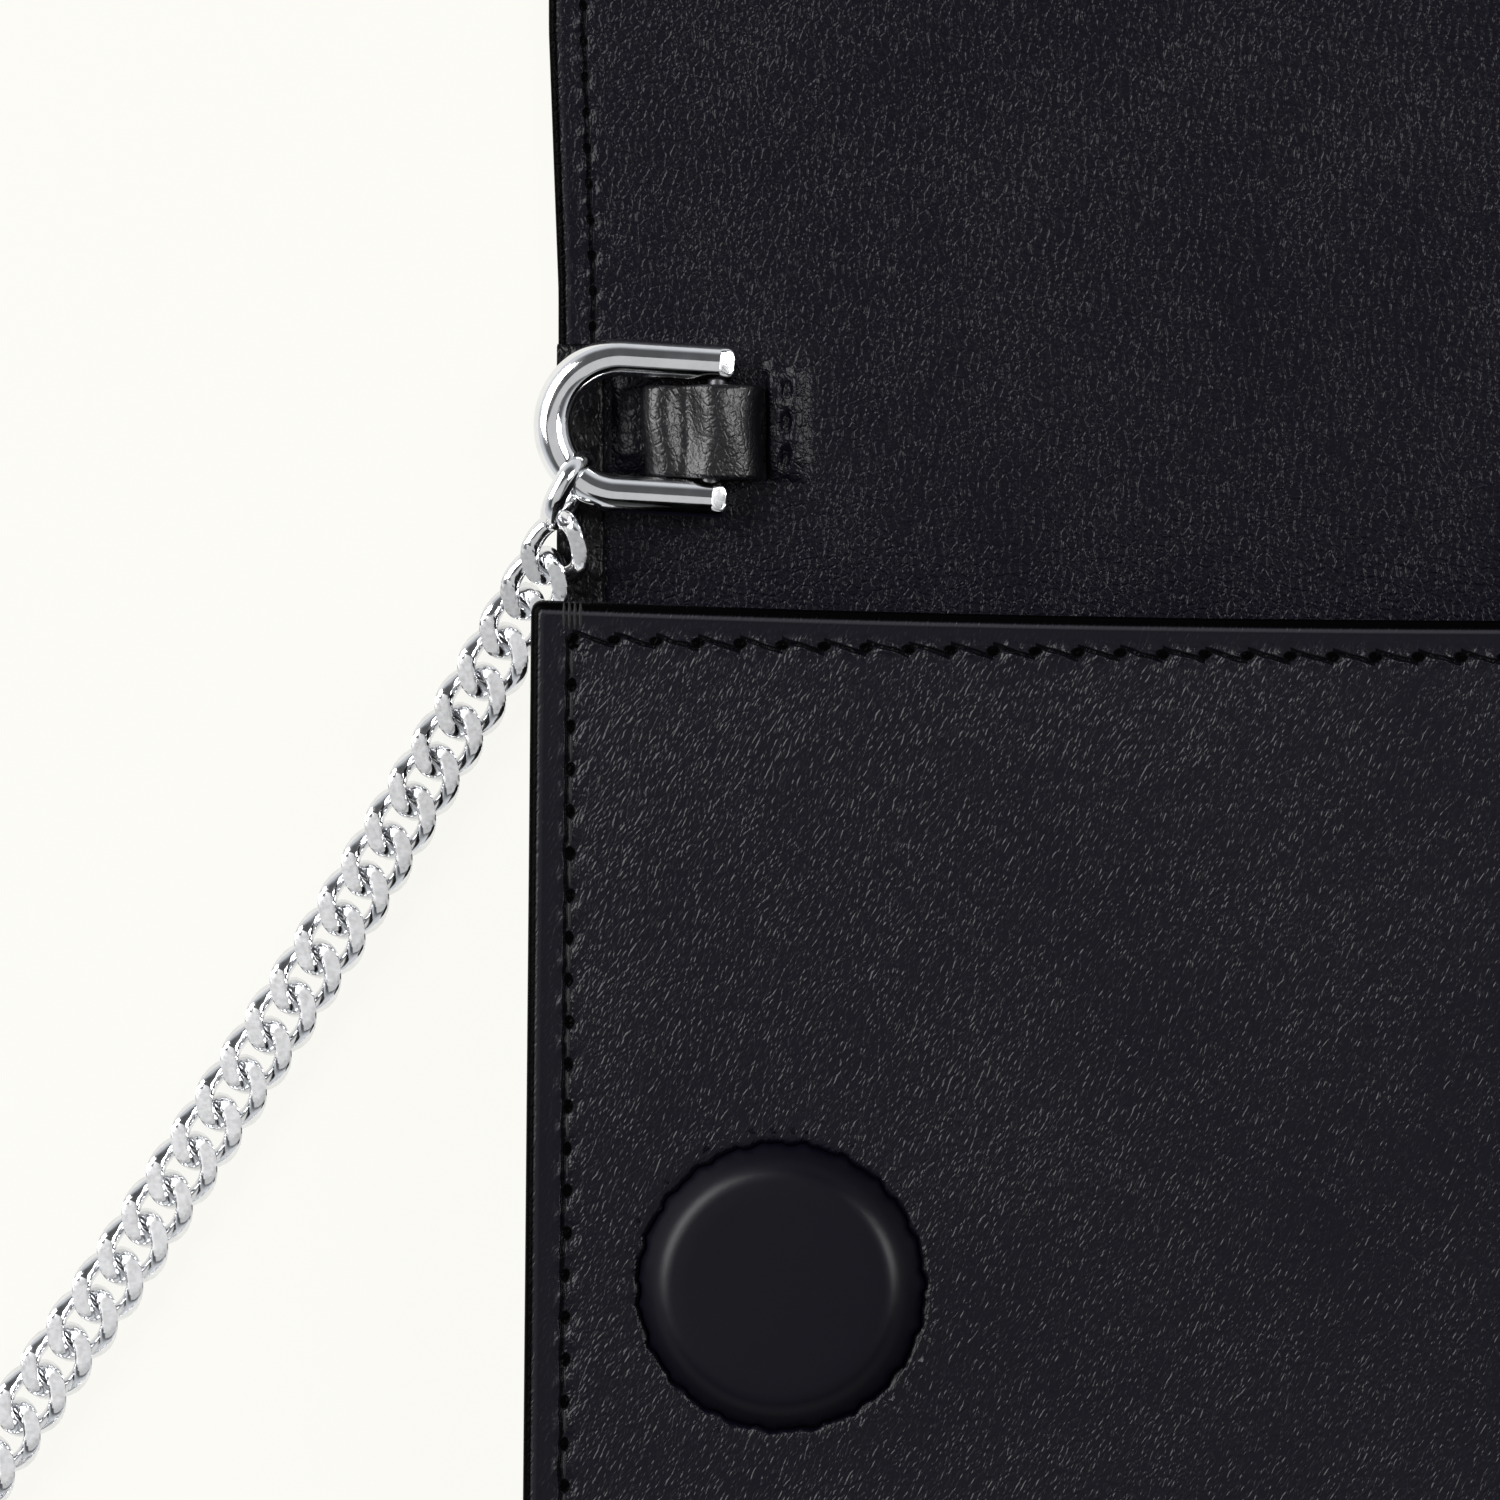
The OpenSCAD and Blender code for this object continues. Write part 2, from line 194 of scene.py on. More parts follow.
print("camera")
cameraValues = {"focal": 201.3, "over": 0.75, "yaw": 5.91, "x": 0.38 * mm, "y": -47.52 * mm}
bpy.ops.object.camera_add(
    location=(cameraValues["x"], cameraValues["y"], place["face"] + cameraValues["over"]),
    rotation=(0, math.radians(cameraValues["yaw"]), 0))
camera = bpy.context.object
camera.data.lens = cameraValues["focal"]
camera.data.sensor_width = 36
camera.data.clip_end = 20
bpy.context.scene.camera = camera


print("materials")


def newMaterial(name):
    material = bpy.data.materials.new(name)
    material.use_nodes = True
    return material, material.node_tree, material.node_tree.nodes["Principled BSDF"]


def node(tree, kind, **inputs):
    made = tree.nodes.new(kind)
    for key, value in inputs.items():
        socket = made.inputs[int(key[2:])] if key.startswith("in") and key[2:].isdigit() else None
        if socket is None:
            socket = made.inputs[key.replace("_", " ")]
        if hasattr(value, "is_linked"):
            tree.links.new(value, socket)
        else:
            socket.default_value = value
    return made


def calc(tree, operation, first, second=0.0, clamp=False):
    made = node(tree, "ShaderNodeMath", in0=first, in1=second)
    made.operation = operation
    made.use_clamp = clamp
    return made.outputs[0]


def ramp(tree, value, low, high, toLow=0.0, toHigh=1.0, kind="SMOOTHSTEP"):
    made = tree.nodes.new("ShaderNodeMapRange")
    made.interpolation_type = kind
    tree.links.new(value, made.inputs["Value"])
    for key, number in (("From Min", low), ("From Max", high), ("To Min", toLow), ("To Max", toHigh)):
        made.inputs[key].default_value = number
    return made.outputs["Result"]


def noise(tree, vector, scale, detail=2.0, roughness=0.5, distortion=0.0):
    made = node(tree, "ShaderNodeTexNoise", Vector=vector, Scale=scale, Detail=detail,
                Roughness=roughness, Distortion=distortion)
    return made.outputs["Fac"]


def turned(tree, vector, angle, scale):
    made = node(tree, "ShaderNodeMapping", Vector=vector)
    made.vector_type = "TEXTURE"
    made.inputs["Rotation"].default_value = (0, 0, math.radians(angle))
    made.inputs["Scale"].default_value = scale
    return made.outputs["Vector"]


def bump(tree, height, distance):
    return node(tree, "ShaderNodeBump", Strength=1.0, Distance=distance, Height=height).outputs["Normal"]


def attribute(tree, name, output):
    made = tree.nodes.new("ShaderNodeAttribute")
    made.attribute_name = name
    return made.outputs[output]


def objectPlace(tree):
    return tree.nodes.new("ShaderNodeTexCoord").outputs["Object"]


def mixed(tree, share, first, second):
    # a colour between two, each of them a socket or plain numbers
    made = node(tree, "ShaderNodeMix", Factor=share)
    made.data_type = "RGBA"
    for socket, colour in ((made.inputs[6], first), (made.inputs[7], second)):
        if hasattr(colour, "is_linked"):
            tree.links.new(colour, socket)
        else:
            socket.default_value = (*colour, 1)
    return made.outputs[2]


def leather(name, values, ownPlace=True, stitched=True):
    # calf leather; a sheet carries its own place, distance from its edge and run along its edge
    material, tree, shader = newMaterial(name)

    def times(first, second):
        return calc(tree, "MULTIPLY", first, second)

    def plus(first, second):
        return calc(tree, "ADD", first, second)

    def minus(first, second):
        return calc(tree, "SUBTRACT", first, second)

    at = attribute(tree, "leatherAt", "Vector") if ownPlace else objectPlace(tree)
    wander = noise(tree, at, 45.0, 1.0)
    streakPlace = turned(tree, at, values["streakTurn"], (1.0, values["streakStretch"], 1.0))
    drift = node(tree, "ShaderNodeVectorMath", in0=streakPlace)
    drift.operation = "ADD"
    bend = node(tree, "ShaderNodeVectorMath", in0=node(
        tree, "ShaderNodeTexNoise", Vector=at, Scale=90.0, Detail=1.0).outputs["Color"])
    bend.operation = "SCALE"
    bend.inputs["Scale"].default_value = values["drift"]
    tree.links.new(bend.outputs[0], drift.inputs[1])
    streak = noise(tree, drift.outputs[0], values["streakScale"], 1.0, 0.5)
    streak = ramp(tree, calc(tree, "ABSOLUTE", minus(streak, 0.5)), 0.0, values["fold"])
    pebble = node(tree, "ShaderNodeTexVoronoi", Vector=drift.outputs[0], Scale=values["pebbleScale"])
    pebble.feature = "DISTANCE_TO_EDGE"
    pebble = ramp(tree, pebble.outputs["Distance"], 0.0, 0.16)
    crease = noise(tree, at, values["creaseScale"], 3.0, 0.6, 0.4)
    grain = plus(times(streak, values["streak"]), times(pebble, values["pebble"]))
    grain = times(grain, ramp(tree, wander, 0.3, 0.7, 0.85, 1.1, "LINEAR"))
    if stitched:
        edgeIn = attribute(tree, "edgeIn", "Fac")
        edgeRun = attribute(tree, "edgeRun", "Fac")
        edgeSlant = attribute(tree, "edgeSlant", "Fac")
        row, pitch, hole = values["row"], values["pitch"], values["hole"]
        grain = times(grain, ramp(tree, edgeIn, row - 0.5 * mm, row + 0.4 * mm, values["bandGrain"], 1.0))
        # a hole at the end of each stitch, and the groove that the thread pulls between them
        phase = calc(tree, "PINGPONG", edgeRun, 0.5 * pitch)
        across = minus(edgeIn, plus(row, times(minus(noise(tree, at, 520.0, 2.0), 0.5), values["stray"])))
        cycle = minus(calc(tree, "FRACT", calc(tree, "DIVIDE", edgeRun, pitch)), 0.5)
        slant = minus(across, times(cycle, times(edgeSlant, values["slant"])))
        slant = plus(slant, times(minus(1.0, edgeSlant), values["lineOff"]))
        groove = ramp(tree, calc(tree, "ABSOLUTE", slant), 0.08 * mm, 0.3 * mm, 1.0, 0.0)
        reach = calc(tree, "SQRT", plus(calc(tree, "POWER", across, 2.0),
                                        calc(tree, "POWER", times(phase, 0.7), 2.0)))
        pit = ramp(tree, reach, hole * 0.7, hole, 1.0, 0.0)
        pucker = ramp(tree, reach, hole * 0.8, hole * 2.8, 1.0, 0.0)
        beside = ramp(tree, calc(tree, "ABSOLUTE", across), 0.2 * mm, 1.3 * mm, 1.0, 0.0)
        lumps = times(noise(tree, at, 1100.0, 2.0), beside)
        height = plus(times(grain, values["grainHeight"]), times(lumps, values["lumps"]))
        height = minus(height, times(calc(tree, "MAXIMUM", pit, times(groove, 0.5)), 0.4 * mm))
        height = minus(height, times(pucker, 0.22 * mm))
        # painted shade: the stitch holes, and the groove between them, coloured near black and given almost
        # no reflection; the same mask carries the real black paint of the cut edge
        holeShadeAndPaint = calc(tree, "MAXIMUM", pit, times(groove, 0.85), True)
        paint = ramp(tree, edgeIn, 0.72 * mm, 0.9 * mm, 1.0, 0.0)
        holeShadeAndPaint = calc(tree, "MAXIMUM", holeShadeAndPaint, paint, True)
    else:
        height = times(grain, values["grainHeight"])
    height = plus(height, times(crease, values["creaseHeight"]))
    tree.links.new(bump(tree, height, 1.0), shader.inputs["Normal"])
    colour = mixed(tree, ramp(tree, grain, 0.0, 1.2, 0.0, 1.0, "LINEAR"), values["low"], values["high"])
    if stitched:
        # near black for the painted shade in the holes and groove, and for the edge paint
        colour = mixed(tree, holeShadeAndPaint, colour, (0.0003, 0.0003, 0.0004))
        # painted highlight: a light line where the edge's paint ends, full strength along the top edge and
        # fainter along the sides, standing for light caught on the rim
        line = times(ramp(tree, edgeIn, 0.84 * mm, 0.96 * mm),
                     ramp(tree, edgeIn, 1.1 * mm, 1.4 * mm, 1.0, 0.0))
        line = times(line, ramp(tree, edgeSlant, 0.0, 1.0, 0.3, 1.0, "LINEAR"))
        colour = mixed(tree, line, colour, values["line"])
        tree.links.new(ramp(tree, holeShadeAndPaint, 0.0, 1.0, values["gloss"], 0.01, "LINEAR"),
                       shader.inputs["Specular IOR Level"])
    else:
        shader.inputs["Specular IOR Level"].default_value = values["gloss"]
    tree.links.new(colour, shader.inputs["Base Color"])
    tree.links.new(ramp(tree, wander, 0.25, 0.75, values["rough"] - 0.02, values["rough"] + 0.02, "LINEAR"),
                   shader.inputs["Roughness"])
    return material


frontLeatherValues = {
    "low": (0.0010, 0.0008, 0.0026), "high": (0.0016, 0.0014, 0.0033), "rough": 0.33, "gloss": 0.15,
    "streakTurn": -27, "streakStretch": 2.3, "streakScale": 2200.0, "streak": 0.9, "fold": 0.30,
    "drift": 0.0010, "pebbleScale": 1500.0, "pebble": 0.3, "grainHeight": 0.056 * mm,
    "creaseScale": 150.0, "creaseHeight": 0.07 * mm, "row": 3.85 * mm, "pitch": 3.8 * mm,
    "hole": 0.5 * mm, "slant": 1.1 * mm, "lineOff": 0.35 * mm, "stray": 0.5 * mm, "lumps": 0.28 * mm,
    # line: colour of the painted highlight on the rim where the edge's paint ends
    "bandGrain": 0.36, "line": (0.013, 0.0125, 0.015),
}
innerLeatherValues = dict(
    frontLeatherValues, low=(0.0009, 0.0007, 0.0024), high=(0.0014, 0.0012, 0.0030), rough=0.34, gloss=0.105,
    streakTurn=20, streakStretch=1.3, streakScale=2000.0, streak=0.8, fold=0.26, pebble=0.6,
    pebbleScale=1300.0, drift=0.0014, grainHeight=0.047 * mm, creaseScale=230.0,
    creaseHeight=0.08 * mm, row=3.3 * mm, pitch=3.3 * mm, hole=0.42 * mm, slant=0.0,
    lineOff=0.0, lumps=0.22 * mm, bandGrain=0.8)
smoothLeatherValues = dict(
    frontLeatherValues, low=(0.0009, 0.0007, 0.0023), high=(0.0011, 0.0009, 0.0026), rough=0.38, gloss=0.12,
    grainHeight=0.002 * mm, creaseHeight=0.04 * mm)
foldedLeatherValues = dict(
    innerLeatherValues, streakTurn=10, streakStretch=1.8, streakScale=1500.0, grainHeight=0.06 * mm,
    creaseScale=520.0, creaseHeight=0.25 * mm, low=(0.0008, 0.0007, 0.0012), high=(0.0014, 0.0013, 0.0019))
frontLeather = leather("frontLeather", frontLeatherValues)
innerLeather = leather("innerLeather", innerLeatherValues)
coverLeather = leather("coverLeather", smoothLeatherValues, ownPlace=False, stitched=False)
plainInnerLeather = leather("plainInnerLeather", innerLeatherValues, ownPlace=False, stitched=False)
foldedLeather = leather("foldedLeather", foldedLeatherValues, stitched=False)
strapLeather = leather("strapLeather", dict(
    innerLeatherValues, grainHeight=0.03 * mm, creaseHeight=0.07 * mm, rough=0.34, gloss=0.3,
    low=(0.0014, 0.0013, 0.0019), high=(0.0027, 0.0025, 0.0034)), ownPlace=False, stitched=False)
groundLeather = leather("groundLeather", dict(innerLeatherValues, gloss=0.12), stitched=False)


def paintedEdge():
    # burnished and painted cut edge of the leather
    material, tree, shader = newMaterial("paintedEdge")
    at = objectPlace(tree)
    tree.links.new(bump(tree, noise(tree, at, 900.0, 3.0), 0.03 * mm), shader.inputs["Normal"])
    tree.links.new(mixed(tree, noise(tree, at, 300.0), (0.0013, 0.0013, 0.0015), (0.0027, 0.0027, 0.003)),
                   shader.inputs["Base Color"])
    shader.inputs["Roughness"].default_value = 0.42
    shader.inputs["Specular IOR Level"].default_value = 0.4
    return material


def threadMaterial():
    material, tree, shader = newMaterial("waxedThread")
    ply = noise(tree, turned(tree, objectPlace(tree), 35, (1.0, 4.0, 1.0)), 5200.0, 1.0)
    tree.links.new(bump(tree, ply, 0.06 * mm), shader.inputs["Normal"])
    tree.links.new(mixed(tree, ply, (0.0008, 0.0008, 0.001), (0.006, 0.006, 0.0068)),
                   shader.inputs["Base Color"])
    shader.inputs["Roughness"].default_value = 0.55
    shader.inputs["Specular IOR Level"].default_value = 0.15
    return material


def metal(name, colour, low, high, scale, height=0.0):
    # plated steel: faint polishing marks move the roughness between low and high
    material, tree, shader = newMaterial(name)
    marks = noise(tree, objectPlace(tree), scale, 3.0, 0.6)
    shader.inputs["Metallic"].default_value = 1.0
    tree.links.new(mixed(tree, ramp(tree, marks, 0.35, 0.65), [c * 0.93 for c in colour], colour),
                   shader.inputs["Base Color"])
    tree.links.new(ramp(tree, marks, 0.3, 0.7, low, high, "LINEAR"), shader.inputs["Roughness"])
    if height:
        tree.links.new(bump(tree, marks, height), shader.inputs["Normal"])
    return material


edgePaint = paintedEdge()
thread = threadMaterial()
ringSteel = metal("ringSteel", (0.86, 0.865, 0.88), 0.06, 0.14, 500.0, 0.004 * mm)
chainSteel = metal("chainSteel", (0.84, 0.845, 0.86), 0.08, 0.17, 700.0)
groundFlat = metal("groundFlat", (0.45, 0.45, 0.455), 0.38, 0.5, 2500.0, 0.004 * mm)
groundFlat.node_tree.nodes["Principled BSDF"].inputs["Metallic"].default_value = 0.8
barSteel = metal("barSteel", (0.06, 0.06, 0.065), 0.35, 0.45, 500.0)
magnetSteel = metal("magnetSteel", (0.5, 0.5, 0.52), 0.3, 0.4, 400.0)
boardFibre, boardTree, boardShader = newMaterial("boardFibre")
boardTree.links.new(bump(boardTree, noise(boardTree, objectPlace(boardTree), 1500.0, 4.0), 0.05 * mm),
                    boardShader.inputs["Normal"])
boardShader.inputs["Base Color"].default_value = (0.30, 0.25, 0.18, 1)
boardShader.inputs["Roughness"].default_value = 0.9


print("panels")
# distances from a cut edge at which a sheet has a line of points, then an even spacing inside
edgeSteps = [0, 0.12, 0.3, 0.5, 0.7, 0.85, 1.0, 1.2, 1.5, 2.1, 2.8, 3.2, 3.5, 3.8, 4.2, 4.8, 5.6, 6.6]
panelValues = {"spacing": 1.3 * mm, "edgeRound": 0.8 * mm, "ridge": 0.1 * mm, "wave": 0.04 * mm}


def lines(low, high, cutLow=True, cutHigh=True, spacing=None):
    spacing = spacing or panelValues["spacing"]
    steps = [s * mm for s in edgeSteps]
    start = [low + s for s in steps] if cutLow else [low]
    end = [high - s for s in reversed(steps)] if cutHigh else [high]
    count = max(2, round((end[0] - start[-1]) / spacing))
    inner = np.linspace(start[-1], end[0], count + 1)[1:-1]
    return np.array(start + list(inner) + end)


def bothWays(half):
    outward = lines(0, half, False)
    return np.concatenate([-np.flip(outward), outward[1:]])


def flatSheet(name, acrossLines, upLines, thickness):
    # a grid on these lines, face up at z 0 and thickness deep
    bpy.ops.mesh.primitive_grid_add(x_subdivisions=len(acrossLines) - 1,
                                    y_subdivisions=len(upLines) - 1, size=2)
    sheet = added(name)
    points = getPoints(sheet)
    column = np.rint((points[:, 0] + 1) / 2 * (len(acrossLines) - 1)).astype(int)
    row = np.rint((points[:, 1] + 1) / 2 * (len(upLines) - 1)).astype(int)
    points[:, 0], points[:, 1] = acrossLines[column], upLines[row]
    setPoints(sheet, points)
    solid = sheet.modifiers.new("thickness", "SOLIDIFY")
    solid.thickness = thickness
    solid.offset = -1
    solid.material_offset = 1
    solid.material_offset_rim = 2
    return applyAll(sheet)


def edgeRounding(distance, radius):
    inside = np.clip(radius - distance, 0, radius)
    return np.sqrt(radius ** 2 - inside ** 2) - radius


def ridge(distance):
    # paint that stands a little proud where it ends on the face
    return panelValues["ridge"] * np.exp(-((distance - 1.05 * mm) / (0.16 * mm)) ** 2)


def waves(x, y, seed=0.0):
    # slow unevenness of soft leather
    return panelValues["wave"] * (
        0.45 * np.sin(71 * x + 38 * y + seed) * np.sin(47 * y - 23 * x + 1.3 + seed)
        + 0.3 * np.sin(133 * x - 95 * y + 2.1 + seed) + 0.25 * np.sin(188 * y + 61 * x + 0.4))


def topEdgeY(x):
    # the front panel's top edge dips towards the middle
    dip = frontValues["dip"]
    return place["mouth"] - dip * (1 - np.clip(np.abs(x) / place["mouthHalf"], 0, 1) ** 2)


def cornered(x, y, half, top, radius, row):
    # distance from the edge and run along the stitched row, round a corner of this radius
    left, up = half - np.abs(x), top - y
    edgeIn = np.minimum(left, up)
    run = np.where(left < up, y - (top - row), (half - row) - np.abs(x))
    if radius > row:
        cornerX, cornerY = left < radius, up < radius
        dx, dy = radius - left, radius - up
        both = cornerX & cornerY
        edgeIn = np.where(both, radius - np.hypot(dx, dy), edgeIn)
        angle = np.arctan2(dy, np.maximum(dx, 1e-9))
        arc = (radius - row) * math.pi / 2
        run = np.where(left < up, y - (top - radius), arc + (half - radius) - np.abs(x))
        run = np.where(both, (radius - row) * angle, run)
    return edgeIn, run


def frontPath(run):
    # the front sheet's outer face, from the mouth down the front and round the bottom fold;
    # run is counted from the panel's lower end, and is negative round the fold
    r = place["foldStart"] - place["bottom"]
    wall = place["face"] - 2 * r
    quarter = r * math.pi / 2
    down = np.maximum(-run, 0)
    y = np.where(run > 0, place["foldStart"] + run, place["foldStart"])
    z = np.full_like(y, place["face"])
    ny, nz = np.zeros_like(y), np.ones_like(y)
    first = (down > 0) & (down <= quarter)
    a = np.clip(down, 0, quarter) / r
    y = np.where(first, place["foldStart"] - r * np.sin(a), y)
    z = np.where(first, place["face"] - r + r * np.cos(a), z)
    ny, nz = np.where(first, -np.sin(a), ny), np.where(first, np.cos(a), nz)
    middle = (down > quarter) & (down <= quarter + wall)
    y = np.where(middle, place["bottom"], y)
    z = np.where(middle, place["face"] - r - (down - quarter), z)
    ny, nz = np.where(middle, -1, ny), np.where(middle, 0, nz)
    last = down > quarter + wall
    b = np.clip((down - quarter - wall) / r, 0, math.pi / 2)
    y = np.where(last, place["foldStart"] - r * np.cos(b), y)
    z = np.where(last, r - r * np.sin(b), z)
    ny, nz = np.where(last, -np.cos(b), ny), np.where(last, -np.sin(b), nz)
    return y, z, ny, nz


frontValues = {"dip": 2 * mm, "corner": 1.2 * mm, "topRow": 0.55 * mm, "bandStep": 0.10 * mm,
               "puff": 0.16 * mm}
buttonValues = {
    "x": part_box("magnet_left")[0].x / 2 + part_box("magnet_left")[1].x / 2,
    "y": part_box("magnet_left")[0].y / 2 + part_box("magnet_left")[1].y / 2,
}
foldRun = (place["foldStart"] - place["bottom"]) * math.pi + place["face"] - 2 * (
    place["foldStart"] - place["bottom"])


def frontRelief(x, y, edgeIn):
    # border band, pressed row, slightly puffed middle, and the ground taken away under the buttons
    row = frontLeatherValues["row"]
    relief = -frontValues["bandStep"] * smoothstep(row - 0.6 * mm, row, edgeIn)
    relief += frontValues["puff"] * smoothstep(row + 0.3 * mm, row + 9 * mm, edgeIn)
    relief += ridge(edgeIn) + waves(x, y) * smoothstep(2 * mm, 12 * mm, edgeIn)
    away = np.hypot(np.abs(x) + buttonValues["x"], y - buttonValues["y"])
    relief *= smoothstep(17.8 * mm, 27 * mm, away)
    return relief - 1.6 * mm * (away < 13.6 * mm)


def makeFrontSheet():
    half = place["baseHalf"]
    length = place["mouth"] - place["foldStart"]
    up = lines(-foldRun, length, False, True, 1.15 * mm)
    sheet = flatSheet("frontSheet", bothWays(half), up, place["layer"])
    flat = getPoints(sheet)
    share = flat[:, 0] / half
    x = share * np.where(flat[:, 1] > 0, halfWidth(place["foldStart"] + flat[:, 1]), half)
    # the top edge follows its dip, fading out down the panel
    lift = (topEdgeY(x) - place["mouth"]) * smoothstep(length - 40 * mm, length, flat[:, 1])
    run = flat[:, 1] + lift
    y, z, ny, nz = frontPath(run)
    side = halfWidth(np.maximum(y, place["foldStart"])) - np.abs(x)
    top = np.where(flat[:, 1] > 0, topEdgeY(x) - y, 1.0)
    edgeIn = np.minimum(side, top)
    row = frontLeatherValues["row"]
    edgeRun = np.where(side < top, y - (place["mouth"] - row), (place["mouthHalf"] - row) - np.abs(x))
    edgeRun = np.where(run < 0, run + place["foldStart"] - (place["mouth"] - row), edgeRun)
    # small round at each top corner
    r = frontValues["corner"]
    dx, dy = np.maximum(r - side, 0), np.maximum(r - top, 0)
    past = np.maximum(np.hypot(dx, dy), 1e-9)
    pull = np.where((dx > 0) & (dy > 0), np.maximum(dx, dy) / past, 1.0)
    x = x + np.sign(x) * dx * (pull - 1)
    y = y + dy * (pull - 1)
    face = flat[:, 2] > -1e-6
    rounding = edgeRounding(edgeIn, panelValues["edgeRound"])
    relief = np.where(face, rounding + frontRelief(x, y, edgeIn) * (nz > 0.99), flat[:, 2])
    relief = np.where(face & (nz < 0.99), rounding, relief)
    setPoints(sheet, np.stack([x, y + ny * relief, z + nz * relief], 1))
    setAttribute(sheet, "leatherAt", np.stack([x, run, 0 * x], 1), "FLOAT_VECTOR")
    # the top row sits a little nearer its edge, and its stitches slant
    nearer = frontValues["topRow"] * smoothstep(1 * mm, 2 * mm, top)
    setAttribute(sheet, "edgeIn", np.minimum(side, top + nearer))
    setAttribute(sheet, "edgeRun", edgeRun)
    setAttribute(sheet, "edgeSlant", (side >= top) * 1.0)
    setMaterials(sheet, frontLeather, plainInnerLeather, edgePaint)
    return smooth(sheet, 60)


def makeUpperSheet(name, low, high, thickness, faceUp, base, cornerRadius, values, materials,
                   cutLow=False, cutHigh=False):
    # a flat sheet of the back, spine or flap, with its seen face up or down
    half = place["flapHalf"]
    up = lines(low, high, cutLow, cutHigh)
    sheet = flatSheet(name, bothWays(half), up, thickness)
    flat = getPoints(sheet)
    x = flat[:, 0] / half * halfWidth(flat[:, 1])
    y = flat[:, 1]
    edgeIn, edgeRun = cornered(x, y, halfWidth(y), place["tip"], cornerRadius, values["row"])
    # points beyond the corner's round are drawn in to it
    dx = cornerRadius - (halfWidth(y) - np.abs(x))
    dy = cornerRadius - (place["tip"] - y)
    both = (dx > 0) & (dy > 0)
    past = np.maximum(np.hypot(dx, dy), 1e-9)
    pull = np.where(both, np.maximum(dx, dy) / past, 1.0)
    edgeIn = np.where(both, cornerRadius - np.maximum(dx, dy), edgeIn)
    x = x + np.sign(x) * np.where(both, dx * (pull - 1), 0)
    y = y + np.where(both, dy * (pull - 1), 0)
    face = flat[:, 2] > -1e-6
    soft = waves(x, y, 1.7) * smoothstep(1.5 * mm, 10 * mm, edgeIn) if faceUp else 0 * x
    top = edgeRounding(edgeIn, 0.6 * mm) + ridge(edgeIn) * 0.5 + soft
    height = np.where(face, top, flat[:, 2])
    z = base + height if faceUp else base - height
    setPoints(sheet, np.stack([x, y, z], 1))
    if not faceUp:
        sheet.data.flip_normals()
    setAttribute(sheet, "leatherAt", np.stack([x, y, 0 * x + (0 if faceUp else 0.3)], 1), "FLOAT_VECTOR")
    setAttribute(sheet, "edgeIn", edgeIn)
    setAttribute(sheet, "edgeRun", edgeRun)
    setAttribute(sheet, "edgeSlant", 0 * edgeIn)
    setMaterials(sheet, *materials)
    return smooth(sheet, 60)


frontSheet = makeFrontSheet()
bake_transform(frontSheet)
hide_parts("front_outer", "bottom_outer")

innerThick = place["sheet"] - place["layer"]
innerSet = (innerLeather, plainInnerLeather, edgePaint)
outerSet = (frontLeather, plainInnerLeather, edgePaint)
flapCorner = 8 * mm
backInner = makeUpperSheet("backInner", place["foldStart"], midSpine, innerThick, True, place["sheet"],
                           flapCorner, innerLeatherValues, innerSet)
flapInner = makeUpperSheet("flapInner", midSpine, place["tip"], innerThick, True, place["sheet"],
                           flapCorner, innerLeatherValues, innerSet, cutHigh=True)
backOuter = makeUpperSheet("backOuter", place["foldStart"], midSpine, place["layer"], False, 0.0,
                           flapCorner, frontLeatherValues, outerSet)
flapOuter = makeUpperSheet("flapOuter", midSpine, place["tip"], place["layer"], False, 0.0,
                           flapCorner, frontLeatherValues, outerSet, cutHigh=True)
for piece, crossing, nodes, slotName in (
        (backInner, "firstFold", ["back_lining"], "lining_leather"),
        (flapInner, "secondFold", ["flap_lining", "spine_lining"], "lining_leather"),
        (backOuter, "firstFold", ["back_outer"], "outer_leather"),
        (flapOuter, "secondFold", ["flap_outer", "spine_outer"], "outer_leather")):
    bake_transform(piece)
    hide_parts(*nodes)


print("buttons")


